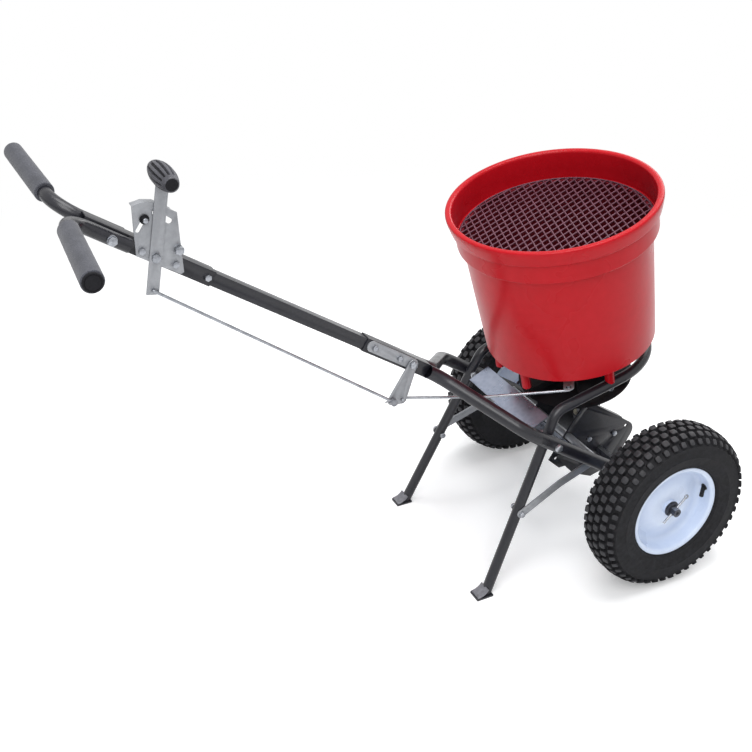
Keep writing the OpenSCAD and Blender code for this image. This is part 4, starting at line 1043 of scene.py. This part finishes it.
@dataclass
class Handle(Assembly):
    """The handle tubes with their foam grips and end plugs, in the boom frame."""

    grip_radius: float = 15.8
    grip_length: float = 194.0
    grip_waves: int = 12
    wave_depth: float = 0.1
    wave_inset: float = 0.12
    end_inset: float = 0.2
    bore: float = 11.25
    bend_end: Pair = (-1203.48, 70.2511)
    sweep: float = 4.3
    grip_start: float = 9.776

    def place(self, side: Side) -> Matrix:
        """Where a grip's own frame lies, with Z outwards from the bend.

        Args:
            side: The side of the grip.

        Returns:
            The frame, with the right side mirrored by a turn.
        """
        x, y = self.bend_end
        sign = side.value
        start = Matrix.Translation((x * MM, sign * y * MM, 0))
        swing = Matrix.Rotation(math.radians(sign * self.sweep), 4, "Z")
        return BOOM_FRAME @ start @ swing @ Matrix.Rotation(math.radians(-90 * sign), 4, "X")

    def grip(self, side: Side) -> bpy.types.Object:
        """Turns a foam sleeve with soft ends and slight waves from its mandrel.

        Args:
            side: The side of the grip.

        Returns:
            The finished sleeve.
        """
        length, bore, waves = self.grip_length, self.bore, self.grip_waves
        end, crest = self.grip_radius - self.end_inset, self.grip_radius - self.wave_inset
        outer = [(bore, 0.0), (end, 0.0)]
        outer += [(crest - self.wave_depth * (i % 2), length * i / waves) for i in range(1, waves)]
        outer += [(end, length), (bore, length)]
        loop = rounded(outer, {1: 3.6, len(outer) - 2: 4.2}, steps=6)
        piece = turned("grip_foam_" + side.tag, loop, steps=64)
        smooth(piece, degrees=50)
        shift = Matrix.Translation((0, 0, self.grip_start * MM))
        return settle(piece, self.place(side) @ shift)

    def plugs(self) -> bpy.types.Object:
        """Turns the two end plugs with a groove round their faces.

        Returns:
            Both plugs as one piece.
        """
        end = self.grip_start + self.grip_length
        # Radius and height of each corner, from the inner end over the rim and the face's groove
        loop = [
            (0.0, end - 18), (9.4, end - 18), (9.4, end + 0.1), (13.5, end + 0.1),
            (13.5, end + 2.9), (11.4, end + 3.0), (11.0, end + 2.2), (10.4, end + 2.2),
            (10.0, end + 3.0), (0.0, end + 3.0),
        ]
        made = []
        for side in Side:
            plug = turned("plug_" + side.tag, rounded(loop, {4: 1.2}), steps=64, closed=False)
            smooth(plug, degrees=35)
            made.append(settle(plug, self.place(side)))
        return join(made, "grip_end_plugs")

    def build(self) -> None:
        """Makes and dresses the handle's pieces."""
        for side in Side:
            self.refine("handle_tube_" + side.tag, "frame", "black_paint", Finishes.POWDER)
            sleeve = self.fit(self.grip(side), "frame", "foam", Finishes.FOAM, ["grip_" + side.tag])
        self.fit(self.plugs(), "frame", "black_plastic", Finishes.BLACK_NYLON, ["grip_plugs"])
        self.refine("saddle_washers", "frame", "zinc", Finishes.BOLT)


@dataclass
class LeverGroup(Assembly):
    """The lever with its ribbed knob, its plate and its stop, in the boom frame."""

    knob_length: float = 90.0
    knob_radius: float = 18.0
    knob_end: float = 11.0
    knob_rings: int = 20
    knob_trim: float = 0.997
    knob_inset: float = 0.1
    knob_centre: Triple = (-1092.518, -17.1, 114.914)
    grooves: int = 12
    groove_depth: float = 3.2
    groove_wall: float = 0.5
    groove_reach: float = 0.84
    groove_span: Pair = (0.02, 0.48)
    end_squarely: float = 0.95
    end_rim: float = 1.3
    end_dish: float = 1.2
    stop_head: float = 4.6
    stop_height: float = 4.0
    stop_shoulder: float = 0.9
    stop_crown: float = 0.6
    stop_sink: float = 0.2

    def knob(self) -> bpy.types.Object:
        """Turns an oval cross grip and presses long grooves into it.

        Returns:
            The finished knob.
        """
        half = self.knob_length / 2
        long = half / math.sqrt(1 - (self.knob_end / self.knob_radius) ** 2)
        outline = [(0.0, -half * self.knob_trim)]
        for i in range(self.knob_rings + 1):
            height = -half + i * self.knob_length / self.knob_rings
            radius = (self.knob_radius - self.knob_inset) * math.sqrt(1 - (height / long) ** 2)
            outline.append((radius, height * self.knob_trim))
        outline.append((0.0, half * self.knob_trim))
        piece = turned("lever_grip", outline, steps=self.grooves * 4, closed=False)
        edit(piece)
        share = math.tau / self.grooves

        def in_groove(centre: Vector, normal: Vector) -> bool:
            """Says whether a face lies in one of the long grooves."""
            start, end = self.groove_span
            angle = math.atan2(centre.y, centre.x) % share
            return abs(centre.z) < half * self.groove_reach * MM and start < angle / share < end

        def in_end(centre: Vector, normal: Vector) -> bool:
            """Says whether a face lies in one of the flat ends."""
            return abs(normal.z) > self.end_squarely

        # The grooves and dished ends take the black second slot as painted shade in these recesses
        self.palette.dress(piece, Finishes.WORN_NYLON, Finishes.BLACK_NYLON)
        piece.active_material_index = 1
        select_faces(piece, in_groove)
        bpy.ops.mesh.inset(thickness=self.groove_wall * MM)
        bpy.ops.transform.shrink_fatten(value=-self.groove_depth * MM)
        bpy.ops.object.material_slot_assign()
        select_faces(piece, in_end)
        bpy.ops.mesh.inset(thickness=self.end_rim * MM)
        bpy.ops.transform.shrink_fatten(value=-self.end_dish * MM)
        bpy.ops.object.material_slot_assign()
        leave_edit()
        soften(piece, 0.35, degrees=40)
        smooth(piece, degrees=45)
        spot = Matrix.Translation(Vector(self.knob_centre) * MM)
        return settle(piece, BOOM_FRAME @ spot @ Matrix.Rotation(math.pi / 2, 4, "X"))

    def stop_screw(self) -> bpy.types.Object:
        """Models the small hexagon head in the middle of the adjustable stop.

        Returns:
            The finished head.
        """
        low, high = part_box("adjustable_stop")
        clear_selection()
        bpy.ops.mesh.primitive_cylinder_add(
            vertices=6, radius=self.stop_head * MM, depth=self.stop_height * MM
        )
        head = bpy.context.object
        head.name = "stop_screw_head"
        edit(head)
        select_faces(head, lambda centre, normal: normal.z > SQUARELY)
        bpy.ops.mesh.inset(thickness=self.stop_shoulder * MM)
        bpy.ops.transform.translate(value=(0, 0, self.stop_crown * MM))
        leave_edit()
        soften(head, 0.3)
        smooth(head, degrees=40)
        middle = (low + high) / 2
        spot = Matrix.Translation((middle.x, low.y - self.stop_sink * MM, middle.z))
        return settle(head, spot @ Matrix.Rotation(math.pi / 2, 4, "X"))

    def build(self) -> None:
        """Makes and dresses the lever's pieces."""
        self.fit(self.knob(), "lever", "black_plastic", nodes=["lever_knob"])
        self.fit(self.stop_screw(), "stop", "zinc", Finishes.BOLT)
        self.refine("lever", "lever", "zinc", Finishes.ZINC, 0.5)
        self.refine("lever_plate", "frame", "zinc", Finishes.ZINC, 0.4)
        self.refine("adjustable_stop", "stop", "black_plastic", Finishes.BLACK_NYLON, 0.5)


@dataclass
class ShutterWork(Assembly):
    """The bellcrank, rods, swivel and shutter that the lever moves."""

    edge_break: float = 0.4

    def build(self) -> None:
        """Refines and dresses the linkage's pieces."""
        self.refine("bellcrank_bracket", "frame", "zinc", Finishes.ZINC, self.edge_break)
        self.refine("bellcrank", "bellcrank", "zinc", Finishes.ZINC, self.edge_break)
        self.refine("control_rod", "control_rod", "zinc", Finishes.BOLT)
        self.refine("swivel", "control_rod", "steel", Finishes.STEEL)
        self.refine("gate_rod", "gate_rod", "zinc", Finishes.BOLT)
        self.refine("shutter", "shutter", "zinc", Finishes.ZINC, self.edge_break)
        self.refine("shutter_ring", "frame", "black_plastic", Finishes.BLACK_NYLON, self.edge_break)


@dataclass
class Chassis(Assembly):
    """The boom, rails, stand and the plates round the gear case."""

    coated: Sequence[str] = (
        "lower_boom", "middle_boom", "upper_boom", "rail_right", "rail_left", "hoop", "leg_right",
        "leg_left", "side_plate_right", "side_plate_left",
    )
    square_break: float = 0.7
    foot_sheet: float = 3.9
    tab_width: float = 24.0
    tab_sheet: float = 2.4
    tab_bend: float = 26.0
    tab_turn: float = 58.0
    tab_middle: float = 12.5
    tab_toe: float = 1.5

    def foot_tab(self, leg: str) -> bpy.types.Object:
        """Models the bent tab at a leg's foot, painted grey as painted light, by spinning its
        section.

        Args:
            leg: The leg's node.

        Returns:
            The finished tab.
        """
        low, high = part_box(leg)
        middle = self.tab_middle * MM
        across = low.y + middle if low.y < -high.y else high.y - middle
        height = (self.foot_sheet + self.tab_sheet / 2) * MM
        start = (low.x + self.tab_toe * MM, across, height)
        clear_selection()
        bpy.ops.mesh.primitive_plane_add(size=1, rotation=(0, math.pi / 2, 0))
        tab = bpy.context.object
        tab.name = "foot_tab_" + leg
        tab.scale = (self.tab_sheet * MM, self.tab_width * MM, 1)
        tab.location = start
        settle(tab)
        edit(tab)
        bpy.ops.mesh.select_all(action="SELECT")
        bpy.ops.mesh.spin(
            steps=10,
            angle=math.radians(self.tab_turn),
            center=(start[0], across, height + self.tab_bend * MM),
            axis=(0, 1, 0),
        )
        bpy.ops.mesh.select_all(action="SELECT")
        bpy.ops.mesh.normals_make_consistent(inside=False)
        leave_edit()
        soften(tab, 0.5, degrees=50)
        return tab

    def build(self) -> None:
        """Refines and dresses the frame's pieces."""
        for leg in ("leg_right", "leg_left"):
            # The foot tabs get a grey in place of the black paint, as painted light on their lit
            # tops
            self.fit(self.foot_tab(leg), "frame", "black_paint", Finishes.WORN_STEEL)
        for node in self.coated:
            square = node.endswith("boom") or node.startswith("side")
            edge = self.square_break if square else 0.0
            self.refine(node, "frame", "black_paint", Finishes.POWDER, edge)
        for node in ("brace_right", "brace_left"):
            self.refine(node, "frame", "zinc", Finishes.ZINC, 0.4)
        self.refine("cross_rod", "frame", "zinc", Finishes.ZINC, 0.5)
        self.refine("deflector", "frame", "galvanised", Finishes.GALVANISED, 0.3)


@dataclass
class Drive(Assembly):
    """The axle, gears, gear case, shaft and impeller."""

    axle_end: float = 272.0

    def build(self) -> None:
        """Refines and dresses the drive's pieces, with the axle's sawn ends left dark."""
        self.refine("gear_case_right", "frame", "cast", Finishes.CAST, 0.6)
        self.refine("gear_case_left", "frame", "cast", Finishes.CAST, 0.6)
        self.refine("impeller", "impeller", "black_plastic", Finishes.BLACK_NYLON, 0.4)
        self.refine("impeller_shaft", "impeller", "steel", Finishes.STEEL)
        self.refine("agitator", "impeller", "steel", Finishes.STEEL, 0.3)
        self.refine("pinion", "impeller", "steel", Finishes.STEEL)
        self.refine("shaft_bush", "frame", "nylon", Finishes.IVORY_NYLON)
        self.refine("crown_gear", "drive_axle", "steel", Finishes.STEEL)
        axle = refined("axle", "axle_finished")
        self.palette.dress(axle, Finishes.STEEL, Finishes.GREASED_STEEL)

        def sawn(centre: Vector, normal: Vector) -> bool:
            """Says whether a face is on one of the axle's sawn ends."""
            return abs(centre.y) > self.axle_end * MM and abs(normal.y) > SQUARELY

        give_slot(axle, 1, sawn)
        self.fit(axle, "drive_axle", "steel", nodes=["axle"])
        self.refine("axle_spacers", "drive_axle", "zinc", Finishes.STEEL)
        self.refine("axle_washers", "drive_axle", "zinc", Finishes.GREASED_STEEL, 0.3)
        self.refine("axle_pins", "drive_axle", "zinc", Finishes.BOLT)
        self.refine("axle_bushes", "frame", "nylon", Finishes.IVORY_NYLON)


@dataclass
class Fasteners(Assembly):
    """The bolts and nuts, with the edges of their hexagons broken."""

    groups: Sequence[tuple[str, float]] = (
        ("m8_bolts", 0.8), ("m8_nuts", 0.5), ("m6_bolts", 0.6), ("m6_nuts", 0.4)
    )

    def build(self) -> None:
        """Refines and dresses each group."""
        for node, break_mm in self.groups:
            self.refine(node, "frame", "zinc", Finishes.BOLT, break_mm)


@dataclass
class Studio:
    """The camera at the photograph's angle, the soft lamps, the world and the floor.

    The eye is measured from the floor below the axle, and the camera's turns are radians. The
    clip, the lamps with their aim, and the floor are in metres, with the specks on each metre.
    """

    eye: Triple = (-1249.84, -1433.84, 1391.17)
    yaw: float = 0.4128
    pitch: float = 0.40045
    roll: float = -0.0102
    focal_px: float = 1058.8
    centre_px: Pair = (300.0, 230.0)
    frame_px: float = 752.0
    sensor_mm: float = 36.0
    clip: Pair = (0.05, 60.0)
    aim: Triple = (0.1, 0.0, 0.4)
    lamps: Sequence[tuple[str, Triple, float, float]] = (
        ("key_lamp", (-1.7, -2.3, 3.6), 2.6, 102.0),
        ("top_lamp", (0.2, 0.0, 4.0), 2.4, 98.0),
        ("rim_lamp", (2.8, 1.6, 2.2), 2.0, 38.0),
    )
    soft_light: float = 0.4
    floor_size: float = 40.0
    floor_specks: float = 2.0
    floor_tone: Pair = (0.93, 0.95)
    floor_glow: float = 0.24
    floor_fade: Pair = (1.0, 2.2)

    def camera(self) -> None:
        """Places the camera, with the photograph's focal length and shift."""
        ahead = Vector((
            math.sin(self.yaw) * math.cos(self.pitch),
            math.cos(self.yaw) * math.cos(self.pitch),
            -math.sin(self.pitch),
        ))
        right = ahead.cross(Vector((0, 0, 1))).normalized()
        up = right.cross(ahead)
        c, s = math.cos(self.roll), math.sin(self.roll)
        right, up = c * right + s * up, -s * right + c * up
        data = bpy.data.cameras.new("photo_camera")
        camera = bpy.data.objects.new("photo_camera", data)
        bpy.context.scene.collection.objects.link(camera)
        turn = Matrix((right, up, -ahead)).transposed().to_4x4()
        spot = Vector(self.eye) * MM + Vector((AXLE.x, 0, 0))
        camera.matrix_world = Matrix.Translation(spot) @ turn
        data.sensor_width = self.sensor_mm
        data.lens = self.focal_px / self.frame_px * self.sensor_mm
        data.shift_x = (self.frame_px / 2 - self.centre_px[0]) / self.frame_px
        data.shift_y = (self.centre_px[1] - self.frame_px / 2) / self.frame_px
        data.clip_start, data.clip_end = self.clip
        bpy.context.scene.camera = camera

    def lamp(self, name: str, spot: Triple, size: float, watts: float) -> None:
        """Adds a soft square lamp aimed at the machine's middle.

        Args:
            name: The lamp's name.
            spot: Its place in metres.
            size: The length of its side in metres.
            watts: Its power.
        """
        data = bpy.data.lights.new(name, "AREA")
        data.size = size
        data.energy = watts
        lamp = bpy.data.objects.new(name, data)
        lamp.location = spot
        way = Vector(self.aim) - Vector(spot)
        lamp.rotation_euler = way.to_track_quat("-Z", "Y").to_euler()
        bpy.context.scene.collection.objects.link(lamp)

    @staticmethod
    def seen_by(tree: bpy.types.NodeTree, *rays: str) -> bpy.types.NodeSocket:
        """Tells rays of some kinds from all others.

        Args:
            tree: The node tree that asks.
            rays: The names of the kinds, as the Light Path node has them.

        Returns:
            A socket that is one for a ray of these kinds and nought for the rest.
        """
        path = add_node(tree, "ShaderNodeLightPath")
        seen = path.outputs[rays[0]]
        for ray in rays[1:]:
            seen = add_node(
                tree, "ShaderNodeMath", links={0: seen, 1: path.outputs[ray]}, operation="MAXIMUM"
            ).outputs[0]
        return seen

    def world(self) -> None:
        """Lights softly from all round, and shows white to camera, gloss and transmission rays."""
        world = bpy.data.worlds.new("studio")
        bpy.context.scene.world = world
        tree = cleared_tree(world)
        seen = self.seen_by(tree, "Is Camera Ray", "Is Glossy Ray", "Is Transmission Ray")
        soft = add_node(
            tree,
            "ShaderNodeBackground",
            {"Color": linear("#F4F6FA"), "Strength": self.soft_light},
        ).outputs[0]
        white = add_node(
            tree, "ShaderNodeBackground", {"Color": linear("#FFFFFF"), "Strength": 1.0}
        ).outputs[0]
        mix = add_node(tree, "ShaderNodeMixShader", links={0: seen, 1: soft, 2: white})
        add_node(tree, "ShaderNodeOutputWorld", links={"Surface": mix.outputs[0]})

    def floor(self) -> None:
        """Lays a wide pale floor that keeps the machine's soft shadow and fades to white."""
        clear_selection()
        bpy.ops.mesh.primitive_plane_add(size=self.floor_size, location=(0, 0, 0))
        floor = bpy.context.object
        floor.name = "studio_floor"
        material = bpy.data.materials.new("pale_floor")
        tree = cleared_tree(material)
        place = add_node(tree, "ShaderNodeTexCoord").outputs["Object"]
        speck = add_node(
            tree, "ShaderNodeTexNoise", {"Scale": self.floor_specks}, {"Vector": place}
        ).outputs["Fac"]
        tone = add_node(
            tree,
            "ShaderNodeMapRange",
            {"To Min": self.floor_tone[0], "To Max": self.floor_tone[1]},
            {"Value": speck},
        ).outputs["Result"]
        paint = add_node(tree, "ShaderNodeBsdfDiffuse", links={"Color": tone}).outputs[0]
        glow, white = (
            add_node(
                tree, "ShaderNodeEmission", {"Color": linear("#FFFFFF"), "Strength": strength}
            ).outputs[0]
            for strength in (self.floor_glow, 1.0)
        )
        both = add_node(tree, "ShaderNodeAddShader", links={0: paint, 1: glow}).outputs[0]
        reach = add_node(
            tree, "ShaderNodeVectorMath", links={0: place}, operation="LENGTH"
        ).outputs["Value"]
        away = add_node(
            tree,
            "ShaderNodeMapRange",
            {"From Min": self.floor_fade[0], "From Max": self.floor_fade[1]},
            {"Value": reach},
            interpolation_type="SMOOTHSTEP",
        ).outputs["Result"]
        faded = add_node(tree, "ShaderNodeMixShader", links={0: away, 1: both, 2: white}).outputs[0]
        seen = self.seen_by(tree, "Is Camera Ray", "Is Transmission Ray")
        mix = add_node(tree, "ShaderNodeMixShader", links={0: seen, 1: paint, 2: faded})
        add_node(tree, "ShaderNodeOutputMaterial", links={"Surface": mix.outputs[0]})
        floor.data.materials.append(material)

    def build(self) -> None:
        """Sets up the studio."""
        self.camera()
        for lamp in self.lamps:
            self.lamp(*lamp)
        self.world()
        self.floor()
        bpy.context.scene.view_settings.view_transform = "Standard"


def main() -> None:
    """Builds the sub-assemblies in order, then the studio."""
    logging.basicConfig(level=logging.INFO, format="%(message)s")
    palette = Palette()
    assemblies: list[Assembly] = [
        Wheel(palette, Side.RIGHT, "drive_axle"),
        Wheel(palette, Side.LEFT, "idle_wheel"),
        Tub(palette),
        Handle(palette),
        LeverGroup(palette),
        ShutterWork(palette),
        Chassis(palette),
        Drive(palette),
        Fasteners(palette),
    ]
    for assembly in assemblies:
        log.info("building %s", type(assembly).__name__)
        assembly.build()
    Studio().build()


if __name__ == "__main__":
    main()
